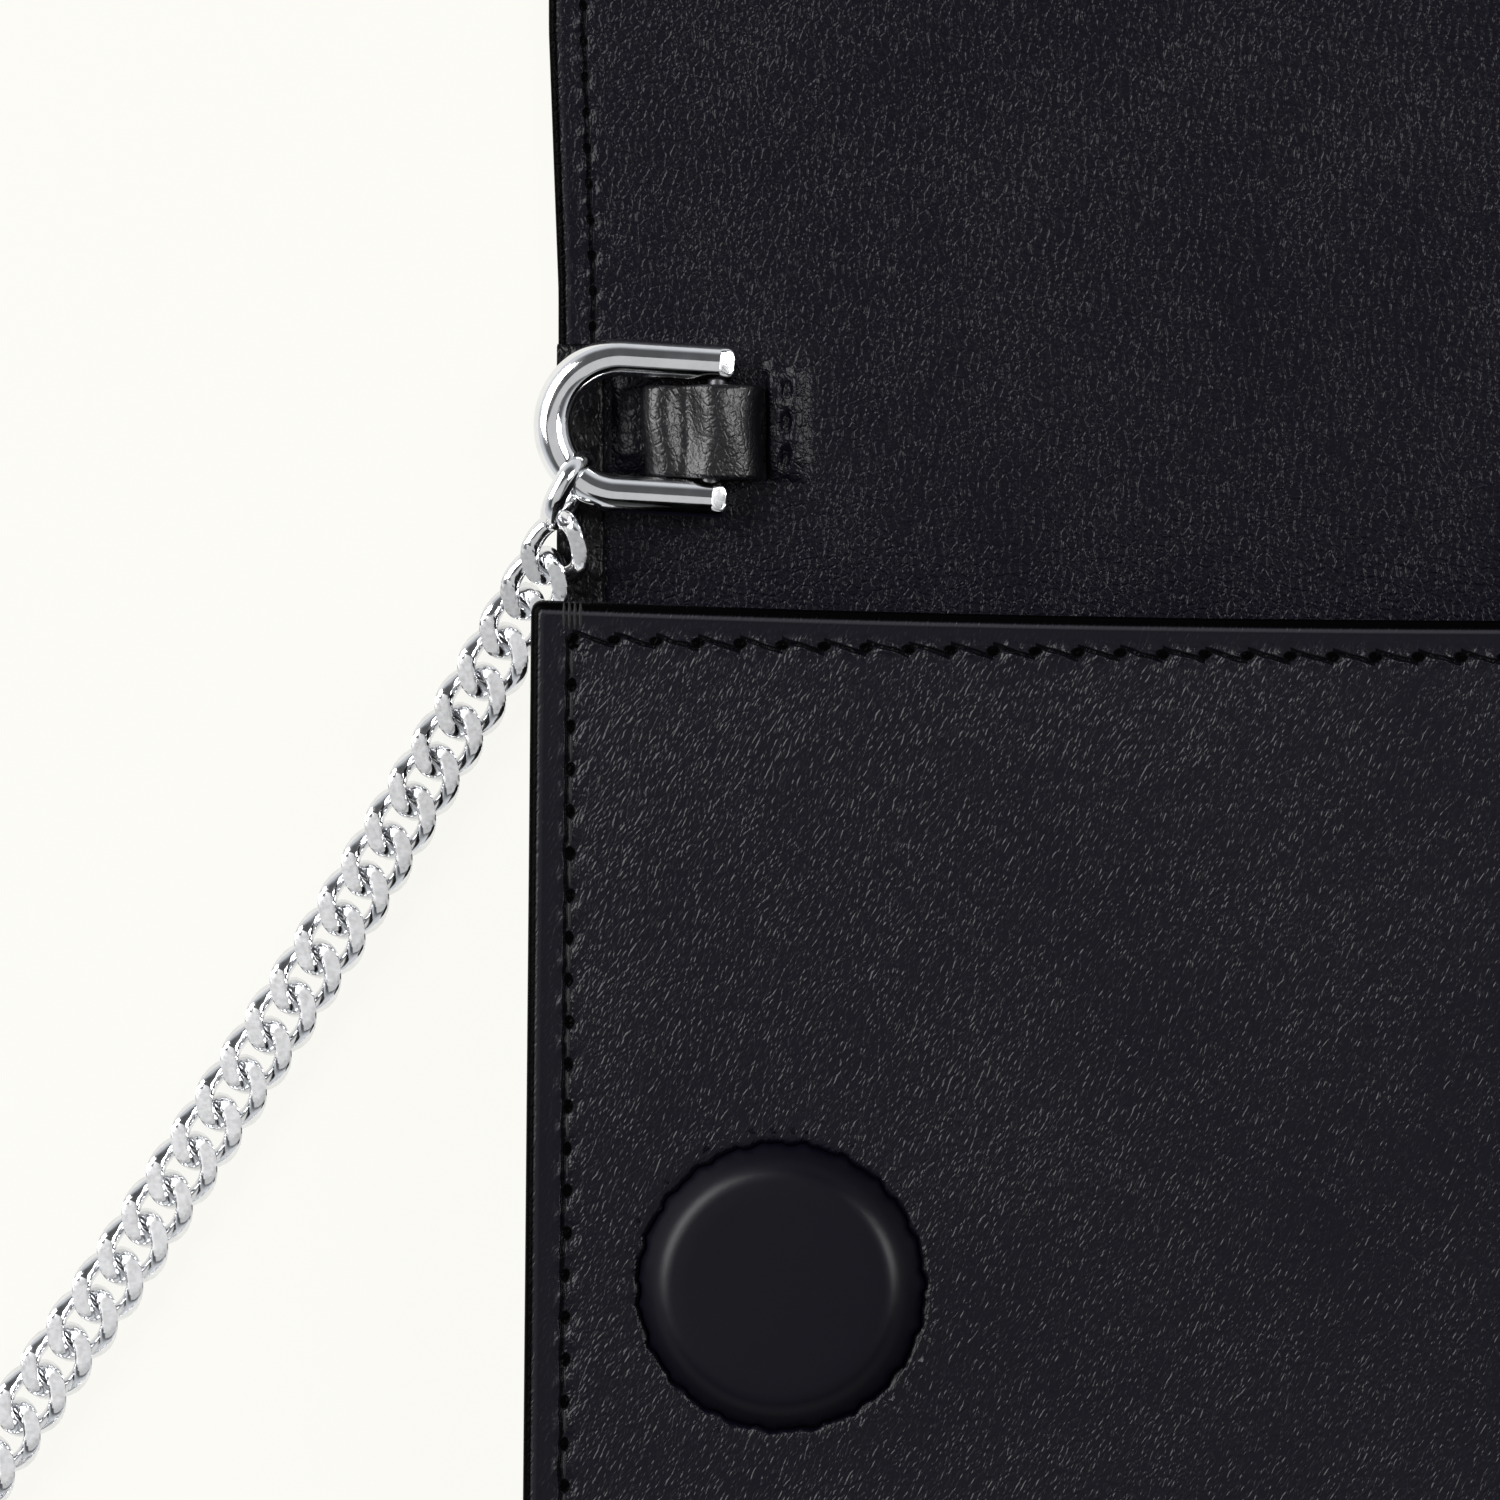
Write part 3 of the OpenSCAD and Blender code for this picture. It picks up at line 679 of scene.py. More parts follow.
def makeButton(name, centre, base, height, outer, start):
    # a round of smooth leather over the magnet: outer ring sunk in the panel, groove, shoulder, flat top
    rings = [(17.9, -0.01), (17.3, 0.006), (16.0, 0.01), (14.6, 0.02), (13.7, 0.04), (13.25, 0.0),
             (13.0, -0.2), (12.85, -0.55), (12.72, -0.25), (12.5, 0.12)]
    shoulder = [(12.1, 0.26), (11.6, 0.5), (11.1, 0.71), (10.6, 0.86), (10.1, 0.945), (9.5, 0.98),
                (8.0, 0.985), (5.0, 0.988), (2.0, 0.99)]
    rings += [(radius, share * height) for radius, share in shoulder]
    bpy.ops.mesh.primitive_circle_add(vertices=144, radius=rings[0][0] * mm, fill_type="NOTHING",
                                      location=(0, 0, rings[0][1] * mm))
    button = added(name)
    bpy.ops.object.mode_set(mode="EDIT")
    bpy.ops.mesh.select_all(action="SELECT")
    for (wide, low), (narrow, high) in zip(rings, rings[1:]):
        bpy.ops.mesh.extrude_region_move(TRANSFORM_OT_translate={"value": (0, 0, (high - low) * mm)})
        bpy.ops.transform.resize(value=(narrow / wide, narrow / wide, 1))
    bpy.ops.mesh.fill_grid(span=36)
    bpy.ops.object.mode_set(mode="OBJECT")
    settle(button)
    points = getPoints(button)
    away, angle = np.hypot(points[:, 0], points[:, 1]), np.arctan2(points[:, 1], points[:, 0])
    # the groove wanders a little, and the leather outside it puckers
    ragged = 0.16 * np.sin(23 * angle + 1) + 0.14 * np.sin(41 * angle) + 0.06 * np.sin(67 * angle + 2)
    near = np.exp(-((away / mm - 13.0) / 0.35) ** 2)
    points[:, 0] += near * ragged * mm * np.cos(angle)
    points[:, 1] += near * ragged * mm * np.sin(angle)
    pucker = np.exp(-((away / mm - 13.7) / 0.6) ** 2)
    points[:, 2] += pucker * 0.10 * mm * np.sin(52 * angle + 3 * np.sin(5 * angle))
    points += np.array([centre[0], centre[1], base])
    setPoints(button, points)
    setMaterials(button, coverLeather, outer)
    facesOut(button)
    if button.data.polygons[-1].normal.z < 0:
        button.data.flip_normals()
    for face in button.data.polygons:
        if math.hypot(face.center.x - centre[0], face.center.y - centre[1]) > 13.0 * mm:
            face.material_index = 1
    points = getPoints(button)
    points[:, 1] -= start
    points[:, 2] = 0
    setAttribute(button, "leatherAt", points, "FLOAT_VECTOR")
    setAttribute(button, "edgeIn", points[:, 2] + 20 * mm)
    setAttribute(button, "edgeRun", points[:, 2])
    setAttribute(button, "edgeSlant", points[:, 2])
    return smooth(button, 80)


for side in ("left", "right"):
    for name, magnetCover, base, body, outer, start in (
            ("buttonCover_", "magnet_cover_", place["face"], "front", frontLeather, place["foldStart"]),
            ("flapCover_", "flap_cover_", place["sheet"], "flap", innerLeather, 0)):
        low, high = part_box(magnetCover + side)
        spot = ((low.x + high.x) / 2, (low.y + high.y) / 2)
        cover = makeButton(name + side, spot, base, (high.z - low.z) / mm, outer, start)
        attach(cover, body)
        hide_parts(magnetCover + side)


print("chain")
chainValues = {
    "width": 6.6 * mm, "wire": 1.8 * mm, "pitch": 4.28 * mm, "twist": -43, "ground": 1.08 * mm,
    "square": 0.86, "fineUntil": 0.16, "leadLinks": 8,
}
leftRoute = [
    (-0.0957, -0.0276, 0.0066), (-0.0978, -0.0308, 0.0046), (-0.0996, -0.0335, 0.0030),
    (-0.1020, -0.0374, 0.0018), (-0.1047, -0.0420, 0.0015), (-0.1076, -0.0470, 0.0015),
    (-0.113, -0.056, 0.0015), (-0.1182, -0.0647, 0.0015), (-0.1235, -0.073, 0.0015),
    (-0.1287, -0.081, 0.0015), (-0.134, -0.0892, 0.0015), (-0.1391, -0.0971, 0.0015),
    (-0.1444, -0.1048, 0.0015), (-0.1496, -0.1124, 0.0015), (-0.1552, -0.1206, 0.0015),
    (-0.161, -0.1304, 0.0015), (-0.1676, -0.1408, 0.0015),
]
rightRoute = [
    (-0.143, -0.188, 0.0043), (-0.131, -0.188, 0.0036), (-0.118, -0.187, 0.002),
    (-0.104, -0.184, 0.0015), (-0.085, -0.1785, 0.0015), (-0.062, -0.1715, 0.0015),
    (-0.036, -0.1645, 0.0015), (-0.008, -0.159, 0.0015), (0.02, -0.156, 0.0015),
    (0.048, -0.1545, 0.0015), (0.074, -0.1525, 0.0015), (0.096, -0.147, 0.0015),
    (0.111, -0.136, 0.0015), (0.119, -0.12, 0.0015), (0.1215, -0.102, 0.0015),
    (0.12, -0.084, 0.0015), (0.116, -0.067, 0.0015), (0.1105, -0.052, 0.0015),
    (0.1047, -0.0420, 0.0015), (0.1020, -0.0374, 0.0018), (0.0996, -0.0335, 0.0030),
    (0.0978, -0.0308, 0.0046), (0.0957, -0.0276, 0.0066),
]
coilValues = {"x": -0.143, "y": -0.158, "outer": 0.030, "step": 0.0064, "rise": 0.0028, "low": 0.0015,
              "from": 145, "to": 1350, "every": 15}


def coilRoute():
    points = []
    start, end, every = coilValues["from"], coilValues["to"], coilValues["every"]
    for angle in range(start + every, end, every):
        turn = (angle - start) / 360
        inward = smoothstep(0.8, 1.05, turn) - smoothstep(2.3, 2.6, turn)
        radius = coilValues["outer"] - coilValues["step"] * inward
        z = coilValues["low"] + coilValues["rise"] * smoothstep(1.95, 2.15, turn)
        points.append((coilValues["x"] + radius * math.cos(math.radians(angle)),
                       coilValues["y"] + radius * math.sin(math.radians(angle)), float(z)))
    return points


def smoothRoute(points, step):
    # a smooth curve through the points, as points an equal step apart
    p = np.array(points, float)
    p = np.vstack([2 * p[0] - p[1], p, 2 * p[-1] - p[-2]])
    dense = []
    for a, b, c, d in zip(p, p[1:], p[2:], p[3:]):
        for t in np.linspace(0, 1, 24, endpoint=False):
            dense.append(0.5 * (2 * b + (c - a) * t + (2 * a - 5 * b + 4 * c - d) * t ** 2
                                + (3 * b - a - 3 * c + d) * t ** 3))
    dense.append(p[-2])
    dense = np.array(dense)
    along = np.concatenate([[0], np.cumsum(np.linalg.norm(np.diff(dense, axis=0), axis=1))])
    count = max(2, round(along[-1] / step))
    even = np.linspace(0, along[-1], count + 1)
    return np.stack([np.interp(even, along, dense[:, i]) for i in range(3)], 1)


def rodAlong(name, route, radii, section=28):
    # round rod on a flat route: a sphere's rings are moved to the route's points
    count = len(route)
    bpy.ops.mesh.primitive_uv_sphere_add(segments=section, ring_count=count + 1, radius=1)
    rod = added(name)
    points = getPoints(rod)
    ring = np.rint(np.arccos(np.clip(points[:, 2], -1, 1)) / math.pi * (count + 1)).astype(int) - 1
    pole = (ring < 0) | (ring >= count)
    ring = np.clip(ring, 0, count - 1)
    angle = np.arctan2(points[:, 1], points[:, 0])
    route = np.array(route, float)
    ahead = route[np.minimum(np.arange(count) + 1, count - 1)] - route[np.maximum(np.arange(count) - 1, 0)]
    ahead /= np.linalg.norm(ahead, axis=1)[:, None]
    side = np.stack([-ahead[:, 1], ahead[:, 0], 0 * ahead[:, 0]], 1)
    wide = np.where(pole, 0, np.array(radii)[ring])
    new = route[ring] + side[ring] * (wide * np.cos(angle))[:, None]
    new[:, 2] += wide * np.sin(angle)
    setPoints(rod, new)
    facesOut(rod)
    return rod


def makeLink(name, values, around, section):
    # a curb link: an oval of round wire, twisted along its length and ground flat on both faces
    wire = values["wire"]
    long, wide = (values["pitch"] + wire) / 2, (values["width"] - wire) / 2
    bpy.ops.mesh.primitive_torus_add(major_segments=around, minor_segments=section, major_radius=wide,
                                     minor_radius=wire / 2)
    link = added(name)
    points = getPoints(link)
    turn = np.arctan2(points[:, 1], points[:, 0])
    out = np.hypot(points[:, 0], points[:, 1]) - wide
    x = long * np.sign(np.cos(turn)) * np.abs(np.cos(turn)) ** values["square"]
    y = wide * np.sign(np.sin(turn)) * np.abs(np.sin(turn)) ** values["square"]
    normal = np.stack([np.cos(turn) / long, np.sin(turn) / wide], 1)
    normal /= np.linalg.norm(normal, axis=1)[:, None]
    points[:, 0], points[:, 1] = x + out * normal[:, 0], y + out * normal[:, 1]
    angle = math.radians(values["twist"]) * np.clip(points[:, 0] / long, -1.1, 1.1)
    y, z = points[:, 1].copy(), points[:, 2].copy()
    points[:, 1] = y * np.cos(angle) - z * np.sin(angle)
    points[:, 2] = y * np.sin(angle) + z * np.cos(angle)
    ground = values["ground"]
    flat = np.abs(points[:, 2]) > ground
    points[:, 2] = np.clip(points[:, 2], -ground, ground)
    setPoints(link, points)
    setMaterials(link, chainSteel, groundFlat)
    for face in link.data.polygons:
        face.material_index = int(all(flat[v] for v in face.vertices))
    return smooth(link, 35)


wholeRoute = smoothRoute(leftRoute + coilRoute() + rightRoute, chainValues["pitch"])
print("chain is", round(float(np.sum(np.linalg.norm(np.diff(wholeRoute, axis=0), axis=1))), 4), "m")
fineLink = makeLink("fineLink", chainValues, 44, 18)
plainLink = makeLink("plainLink", chainValues, 16, 6)


def linkRun(name, route, first, last):
    made = []
    for i in range(first, last):
        here, ahead = Vector(route[i]), Vector(route[i + 1])
        forward = (ahead - here).normalized()
        side = Vector((0, 0, 1)).cross(forward).normalized()
        up = forward.cross(side)
        turn = Matrix((forward, side, up)).transposed().to_4x4()
        turn.translation = (here + ahead) / 2
        seen = i * chainValues["pitch"] < chainValues["fineUntil"]
        link = copyOf(fineLink if seen else plainLink, "link")
        link.data.transform(turn)
        made.append(link)
    return joined(made, name)


count, lead = len(wholeRoute) - 1, chainValues["leadLinks"]
leadLeft = linkRun("chainLead_left", wholeRoute, 0, lead)
curbChain = linkRun("curbChain", wholeRoute, lead, count - lead)
leadRight = linkRun("chainLead_right", wholeRoute, count - lead, count)
for spare in (fineLink, plainLink):
    bpy.data.objects.remove(spare)
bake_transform(leadLeft)
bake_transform(leadRight)
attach(curbChain, "pocket")
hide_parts("chain_left_run", "chain_coil", "chain_right_run")


print("rings")
ringValues = {"rod": 3.5 * mm, "inner": 9.0 * mm, "reach": 8.6 * mm, "past": 1.5 * mm, "lift": 8,
              "slant": 3.5, "raise": 0.3 * mm}


def makeHoop():
    # half a circle of round rod with two straight legs, turned down to a short taper at their ends
    middle, r = ringValues["inner"] / 2 + ringValues["rod"] / 2, ringValues["rod"] / 2
    leg = ringValues["reach"] + ringValues["past"]
    taper = [(0, 0.6), (0.04, 0.74), (0.14, 0.85), (0.3, 0.93), (0.55, 0.985), (0.8, 1), (1.05, 1),
             (1.28, 1), (1.33, 1), (1.5, 1)]
    route = [(leg - s * mm, middle, 0) for s, _ in taper]
    radii = [r * share for _, share in taper]
    route += [(x, middle, 0) for x in np.linspace(leg - 2 * mm, 0, 8)]
    turns = np.linspace(0, math.pi, 41)[1:-1]
    route += [(-middle * math.sin(a), middle * math.cos(a), 0) for a in turns]
    route += [(x, -middle, 0) for x in np.linspace(0, leg - 2 * mm, 8)]
    route += [(leg - s * mm, -middle, 0) for s, _ in reversed(taper)]
    radii += [r] * (len(route) - 2 * len(taper)) + [r * share for _, share in reversed(taper)]
    hoop = rodAlong("hoop_left", route, radii, 48)
    # a flat filed across the top and underside of each end
    points = getPoints(hoop)
    inFrom = (leg - points[:, 0]) / mm
    flat = r * np.where(inFrom < 1.3, 0.64 + 0.15 * inFrom / 1.3, 2)
    points[:, 2] = np.clip(points[:, 2], -flat, flat)
    setPoints(hoop, points)
    turn = Matrix.Translation(barAt + Vector((0, ringValues["raise"], 0))) @ (
        Matrix.Rotation(math.radians(-ringValues["slant"]), 4, "Z")) @ (
        Matrix.Rotation(math.radians(ringValues["lift"]), 4, "Y")) @ (
        Matrix.Translation((-ringValues["reach"], 0, 0)))
    hoop.data.transform(turn)
    setMaterials(hoop, ringSteel)
    return smooth(hoop, 40)


hoopLeft = makeHoop()
hoopRight = mirrored(hoopLeft, "hoop_right")
for side, hoop in (("left", hoopLeft), ("right", hoopRight)):
    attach(hoop, side + "_ring")
    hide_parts("ring_" + side)

firstLinkValues = {"wire": 1.95 * mm, "radius": 2.6 * mm, "straight": 0.9 * mm, "heading": 242,
                   "lean": 8, "shift": (-0.2 * mm, -0.7 * mm, 0)}


def makeFirstLink():
    # the larger round link that hooks the chain on the ring, standing on edge
    bpy.ops.mesh.primitive_torus_add(major_segments=56, minor_segments=20,
                                     major_radius=firstLinkValues["radius"],
                                     minor_radius=firstLinkValues["wire"] / 2,
                                     rotation=(math.pi / 2, 0, 0))
    link = settle(added("firstLink_left"))
    points = getPoints(link)
    points[:, 0] += np.sign(np.round(points[:, 0], 6)) * firstLinkValues["straight"] / 2
    setPoints(link, points)
    low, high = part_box("end_link_left")
    link.data.transform(Matrix.Translation((low + high) / 2 + Vector(firstLinkValues["shift"])) @ (
        Matrix.Rotation(math.radians(firstLinkValues["heading"]), 4, "Z")) @ (
        Matrix.Rotation(math.radians(firstLinkValues["lean"]), 4, "X")))
    setMaterials(link, chainSteel)
    return smooth(link, 60)


firstLeft = makeFirstLink()
firstRight = mirrored(firstLeft, "firstLink_right")
for side, link in (("left", firstLeft), ("right", firstRight)):
    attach(link, side + "_ring")
    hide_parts("end_link_" + side)


print("straps and gussets")
strapValues = {"width": 8.4 * mm, "flare": 0.4 * mm, "thick": 0.9 * mm, "edge": 0.3 * mm, "shift": 0.35 * mm}
# outer face of the folded strap, seen along the bar: from the slit, over the bar, round the fold and back
strapOutline = [(4.25, -4.0), (4.2, -2.6), (4.05, -1.2), (3.7, 0.1), (3.1, 0.85), (2.2, 1.35), (1.0, 1.75),
                (-0.3, 1.8), (-1.4, 1.25), (-2.2, 0.72), (-3.0, 0.7), (-3.9, 1.05), (-4.7, 1.1),
                (-5.6, 0.75), (-6.3, -0.1), (-6.5, -1.0), (-6.1, -1.8), (-5.2, -2.2), (-4.0, -2.4),
                (-1.5, -2.45), (1.5, -2.45), (3.2, -2.45)]


def makeStrap():
    route = smoothRoute([(u * mm, 0, v * mm) for u, v in strapOutline], 0.3 * mm)
    count = len(route)
    bpy.ops.mesh.primitive_grid_add(x_subdivisions=count - 1, y_subdivisions=40, size=2)
    strap = added("strap_left_loop")
    points = getPoints(strap)
    step = np.rint((points[:, 0] + 1) / 2 * (count - 1)).astype(int)
    share = points[:, 1]
    at = route[step]
    ahead = route[np.minimum(step + 1, count - 1)] - route[np.maximum(step - 1, 0)]
    ahead /= np.linalg.norm(ahead, axis=1)[:, None]
    out = np.stack([-ahead[:, 2], 0 * step, ahead[:, 0]], 1) * -1
    near = at[:, 0] / mm
    crumple = 0.30 * mm * (np.sin(1.2 * share + near * 0.5 + 1.0) * np.sin(near * 0.45 + 0.6 + 1.5 * share)
                           + 0.2 * np.sin(2.1 * share - near * 0.8 + 2.0))
    edge = edgeRounding((1 - np.abs(share)) * strapValues["width"] / 2, strapValues["edge"])
    new = at + out * (crumple + edge)[:, None]
    flare = strapValues["flare"] * smoothstep(-6.5, 4, near) * (share < 0)
    new[:, 1] = share * (strapValues["width"] / 2 + flare) + strapValues["shift"]
    setPoints(strap, new)
    thicken(strap, strapValues["thick"], 1)
    facesOut(strap)
    strap.data.transform(Matrix.Translation(barAt))
    setMaterials(strap, strapLeather)
    return smooth(strap, 60)


strapLeft = makeStrap()
strapRight = mirrored(strapLeft, "strap_right_loop")
for side, strap in (("left", strapLeft), ("right", strapRight)):
    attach(strap, "pocket")
    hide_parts("strap_" + side)

groundValues = {
    "from": (-92.7 * mm, -25.6 * mm), "to": (-72.4 * mm, -8.6 * mm), "step": 0.17 * mm,
    # heights and places below are in millimetres
    "bulge": 0.9, "welt": 0.8, "slit": 0.9, "slitAt": -78.15, "seamAt": -75.95, "stitch": 3.2,
    "tug": 0.03, "wrinkle": 0.02,
}


def plateau(value, start, full, ease, end):
    return smoothstep(start, full, value) * (1 - smoothstep(ease, end, value))


def makeStrapGround():
    # the lining around the strap: raised over its sewn end, cut for it, and pressed down by the seam
    values = groundValues
    (x0, y0), (x1, y1) = values["from"], values["to"]
    nx, ny = round((x1 - x0) / values["step"]), round((y1 - y0) / values["step"])
    bpy.ops.mesh.primitive_grid_add(x_subdivisions=nx, y_subdivisions=ny, size=2)
    ground = added("strapGround_left")
    points = getPoints(ground)
    x = x0 + (points[:, 0] + 1) / 2 * (x1 - x0)
    y = y0 + (points[:, 1] + 1) / 2 * (y1 - y0)
    u, v = x / mm, y / mm
    rim = smoothstep(0, 1.5 * mm, np.minimum(np.minimum(x - x0, x1 - x), np.minimum(y - y0, y1 - y)))
    bulge = values["bulge"] * plateau(u, -93.0, -89.8, -89, -87.5) * plateau(v, -22.6, -19.6, -14.6, -12.0)
    welt = values["welt"] * plateau(u, -78.3, -77.2, -75.4, -73.3) * plateau(v, -23.8, -20.4, -14.4, -10.6)
    slit = np.exp(-((u - values["slitAt"] - 0.03 * np.sin(v)) / 0.32) ** 2)
    slit *= values["slit"] * plateau(v, -22.7, -22.2, -13.0, -12.6)
    line = values["seamAt"] + 0.02 * (v + 17) + 0.08 * np.sin(2.1 * v)
    run = plateau(v, -23.6, -23.0, -10.8, -10.2)
    seam = 0.5 + 0.28 * np.cos(2 * math.pi * (v + 10.9) / values["stitch"])
    seam *= np.exp(-(np.abs(u - line) / 0.5) ** 2.5) * run
    tug = values["tug"] * np.sin(4 * math.pi * v / values["stitch"] + 1.5 * np.sin(u))
    tug *= np.exp(-((np.abs(u - line) - 1.1) / 0.7) ** 2) * run
    wrinkle = np.sin(3.1 * u + 2.3 * v) * np.sin(1.7 * v - 2.9 * u + 1)
    wrinkle += np.sin(5.3 * v + 2 * np.sin(1.3 * u))
    wrinkle *= values["wrinkle"] * (plateau(u, -93, -91, -91, -88) + 0.35)
    z = place["sheet"] - 0.03 * mm + waves(x, y, 1.7) + rim * mm * (
        0.05 + bulge + welt - slit - seam + tug + wrinkle)
    setPoints(ground, np.stack([x, y, z], 1))
    thicken(ground, 0.5 * mm, -1)
    setMaterials(ground, groundLeather)
    return smooth(ground, 80)


groundLeft = makeStrapGround()
groundRight = mirrored(groundLeft, "strapGround_right")
for ground in (groundLeft, groundRight):
    setAttribute(ground, "leatherAt", getPoints(ground), "FLOAT_VECTOR")
    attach(ground, "pocket")

gussetValues = {"thick": 0.9 * mm, "seam": 4.4 * mm, "fold": 7 * mm, "stop": 5 * mm}


def makeGusset():
    # a strip folded inwards between the two panels, and its sewn edge running on above the mouth
    inner = place["mouthHalf"] - gussetValues["seam"]
    low, high = place["sheet"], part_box("front_lining")[0].z
    middle, t = (low + high) / 2, gussetValues["thick"]
    outline = smoothRoute([
        (-place["mouthHalf"] + 0.1 * mm, 0, high - t * 0.1), (-inner - 1.2 * mm, 0, high - t * 0.1),
        (-inner - 0.2 * mm, 0, high - 0.8 * mm), (-inner + 3 * mm, 0, high - 4 * mm),
        (-inner + gussetValues["fold"] - 0.8 * mm, 0, middle + 1.2 * mm),
        (-inner + gussetValues["fold"], 0, middle),
        (-inner + gussetValues["fold"] - 0.8 * mm, 0, middle - 1.2 * mm),
        (-inner + 3 * mm, 0, low + 4 * mm), (-inner - 0.2 * mm, 0, low + 0.8 * mm + t * 0.4),
        (-inner - 1.2 * mm, 0, low + t), (-place["mouthHalf"] + 0.1 * mm, 0, low + t)], 0.45 * mm)
    count = len(outline)
    depth = place["mouth"] - place["foldStart"]
    bpy.ops.mesh.primitive_grid_add(x_subdivisions=count - 1, y_subdivisions=100, size=2)
    wall = added("gusset_left_wall")
    points = getPoints(wall)
    step = np.rint((points[:, 0] + 1) / 2 * (count - 1)).astype(int)
    share = (points[:, 1] + 1) / 2
    at = outline[step]
    y = place["foldStart"] + share * (depth - 0.8 * mm)
    free = np.sin(step / (count - 1) * math.pi)
    slack = 0.35 * mm * free * (np.sin(190 * y + 0.12 * step) + 0.6 * np.sin(333 * y - 0.2 * step))
    setPoints(wall, np.stack([at[:, 0] + slack, y, at[:, 2] + 0.2 * slack], 1))
    thicken(wall, t, -1)
    top = place["firstFold"] - gussetValues["stop"]
    xs = np.linspace(-place["mouthHalf"] + 0.05 * mm, -inner, 24)
    ys = np.linspace(place["mouth"] - 3 * mm, top, 90)
    strip = flatSheet("strip", xs, ys, t)
    flat = getPoints(strip)
    face = flat[:, 2] > -1e-6
    x, y = flat[:, 0], flat[:, 1]
    crinkle = 0.10 * mm * (np.sin(2100 * y + 500 * x) * np.sin(900 * x + 310 * y) + np.sin(820 * y - 900 * x))
    soft = crinkle + edgeRounding(np.minimum(-inner - x, top - y), 0.35 * mm)
    flat[:, 2] += place["sheet"] + t + np.where(face, soft, 0)
    setPoints(strip, flat)
    strip.data.materials.clear()
    gusset = joined([wall, strip], "gusset_left_leather")
    facesOut(gusset)
    for polygon in gusset.data.polygons:
        polygon.material_index = 0
    setMaterials(gusset, foldedLeather)
    return smooth(gusset, 60)


gussetLeft = makeGusset()
gussetRight = mirrored(gussetLeft, "gusset_right_leather")
for side, gusset in (("left", gussetLeft), ("right", gussetRight)):
    points = getPoints(gusset)
    setAttribute(gusset, "leatherAt", points, "FLOAT_VECTOR")
    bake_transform(gusset)
    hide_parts("gusset_" + side)


print("stitches")
stitchValues = {"length": 2.7 * mm, "width": 0.38 * mm, "height": 0.3 * mm, "sink": 0.16 * mm}


def makeStitch():
    bpy.ops.mesh.primitive_uv_sphere_add(segments=8, ring_count=6, radius=0.5, rotation=(0, math.pi / 2, 0))
    stitch = settle(added("stitch"))
    points = getPoints(stitch) * np.array([stitchValues["length"], stitchValues["width"],
                                           stitchValues["height"]])
    setPoints(stitch, points)
    setMaterials(stitch, thread)
    return smooth(stitch, 80)


def sewRow(name, spots):
    # spots are (place, direction, up) of each stitch's middle
    base = makeStitch()
    made = []
    for at, along, up in spots:
        forward = Vector(along).normalized()
        up = Vector(up)
        side = up.cross(forward).normalized()
        turn = Matrix((forward, side, up)).transposed().to_4x4()
        turn.translation = Vector(at) - up * stitchValues["sink"]
        twin = copyOf(base, "stitch")
        twin.data.transform(turn)
        made.append(twin)
    bpy.data.objects.remove(base)
    return joined(made, name)


def frontSpots():
    row, pitch = frontLeatherValues["row"], frontLeatherValues["pitch"]
    spots = []
    run = -0.5 * pitch
    while place["mouth"] - row + run > place["foldStart"] + 3 * mm:
        y = place["mouth"] - row + run
        for sign in (-1, 1):
            spots.append(((sign * (halfWidth(y) - row), y, place["face"]), (sign * 0.009, 1, 0), (0, 0, 1)))
        run -= pitch
    run = 0.5 * pitch
    while run < place["mouthHalf"] - row:
        x = place["mouthHalf"] - row - run
        for sign in (-1, 1):
            y = topEdgeY(x) - row + frontValues["topRow"]
            spots.append(((sign * x, y, place["face"]), (1, 0.30 * sign, 0), (0, 0, 1)))
        run += pitch
    # the row ends in strands that wrap over the edge
    for strand in (-0.75, -0.25, 0.25, 0.75):
        for sign in (-1, 1):
            x = sign * (place["mouthHalf"] - row + strand * mm)
            spots.append(((x, place["mouth"] - 1.5 * mm, place["face"] + 0.15 * mm), (0, 1, 0), (0, 0, 1)))
    return spots


def flapSpots(values, z, up):
    row, pitch = values["row"], values["pitch"]
    r = flapCorner - row
    arc = r * math.pi / 2
    half, tip = place["flapHalf"], place["tip"]
    spots = []
    run = -0.5 * pitch
    while tip - flapCorner + run > place["firstFold"] + 1 * mm:
        y = tip - flapCorner + run
        for sign in (-1, 1):
            spots.append(((sign * (halfWidth(y) - row), y, z), (0, 1, 0), up))
        run -= pitch
    run = 0.5 * pitch
    while run < arc + half - flapCorner:
        if run < arc:
            a = run / r
            x, y = half - flapCorner + r * math.cos(a), tip - flapCorner + r * math.sin(a)
            along = (-math.sin(a), math.cos(a), 0)
        else:
            x, y, along = half - flapCorner - (run - arc), tip - row, (1, 0, 0)
        for sign in (-1, 1):
            spots.append(((sign * x, y, z), (sign * along[0], along[1], 0), up))
        run += pitch
    return spots


frontThread = sewRow("frontThread", frontSpots())
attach(frontThread, "front")
upperSpots = flapSpots(innerLeatherValues, place["sheet"], (0, 0, 1))
pocketThread = sewRow("pocketThread", [s for s in upperSpots if s[0][1] < midSpine])
flapThread = sewRow("flapThread", [s for s in upperSpots if s[0][1] >= midSpine])
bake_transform(pocketThread)
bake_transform(flapThread)


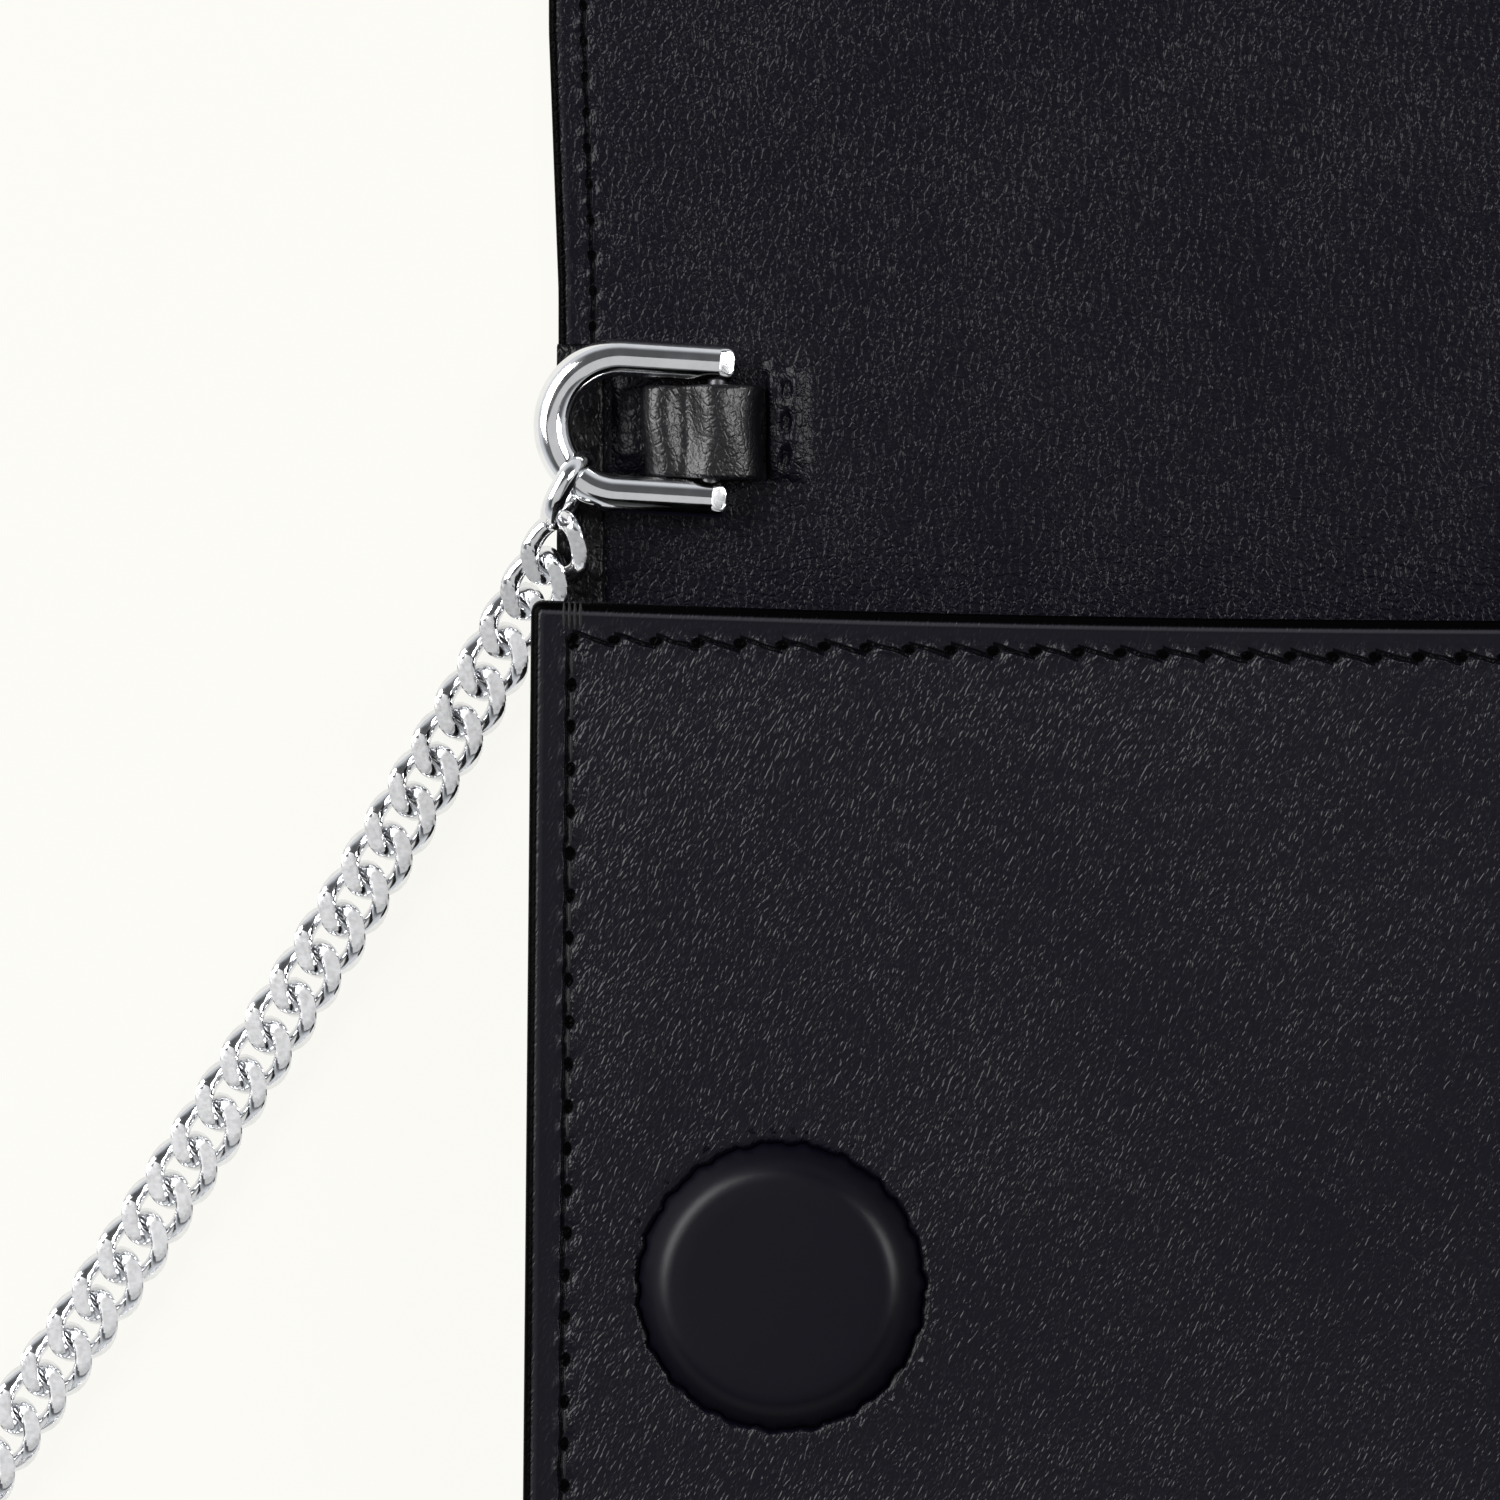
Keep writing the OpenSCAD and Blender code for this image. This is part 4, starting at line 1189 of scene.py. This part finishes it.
print("carried-over nodes")
for name, piece in frame["nodes"].items():
    if name.endswith("_board"):
        setMaterials(piece, boardFibre)
    elif "magnet_l" in name or "magnet_r" in name:
        setMaterials(piece, magnetSteel)
    elif name.startswith(("card_slot", "divider", "bottom_lining", "front_lining", "strap_patch")):
        setMaterials(piece, plainInnerLeather)
    elif name.startswith("ring_bar"):
        setMaterials(piece, barSteel)


print("floor and lights")
bpy.ops.mesh.primitive_plane_add(size=6, location=(0, 0, -0.0001))
floor = added("floor")
floorMaterial, floorTree, floorShader = newMaterial("paleFloor")
floorShader.inputs["Base Color"].default_value = (0.02, 0.02, 0.019, 1)
floorShader.inputs["Roughness"].default_value = 1.0
floorShader.inputs["Specular IOR Level"].default_value = 0.0
floorShader.inputs["Emission Color"].default_value = (1.0, 0.991, 0.948, 1)
floorShader.inputs["Emission Strength"].default_value = 0.93
setMaterials(floor, floorMaterial)

lightValues = {
    # place, width, height, watts: soft boxes, the one at the top left the strongest
    "topLeft": ((-0.95, 0.40, 0.80), 1.1, 0.75, 40.0),
    "right": ((0.86, 0.20, 0.93), 0.5, 0.6, 17.0),
    "overhead": ((0.0, -0.45, 1.11), 1.3, 1.25, 2.6),
}
for name, (spot, wide, high, watts) in lightValues.items():
    toward = Vector((-0.06, -0.05, 0)) - Vector(spot)
    bpy.ops.object.light_add(type="AREA", location=spot, rotation=toward.to_track_quat("-Z", "Y").to_euler())
    light = bpy.context.object
    light.name = name
    light.data.shape = "RECTANGLE"
    light.data.size = wide
    light.data.size_y = high
    light.data.energy = watts
world = bpy.context.scene.world or bpy.data.worlds.new("studio")
bpy.context.scene.world = world
world.use_nodes = True
# bright near the horizon, dim overhead
worldTree = world.node_tree
sky = worldTree.nodes["Background"]
sky.inputs["Color"].default_value = (0.93, 0.96, 1.0, 1)
directions = worldTree.nodes.new("ShaderNodeTexCoord").outputs["Generated"]
rays = node(worldTree, "ShaderNodeSeparateXYZ", Vector=directions)
worldTree.links.new(ramp(worldTree, rays.outputs["Z"], 0.25, 0.65, 0.75, 0.10), sky.inputs["Strength"])
bpy.context.scene.view_settings.view_transform = "Standard"
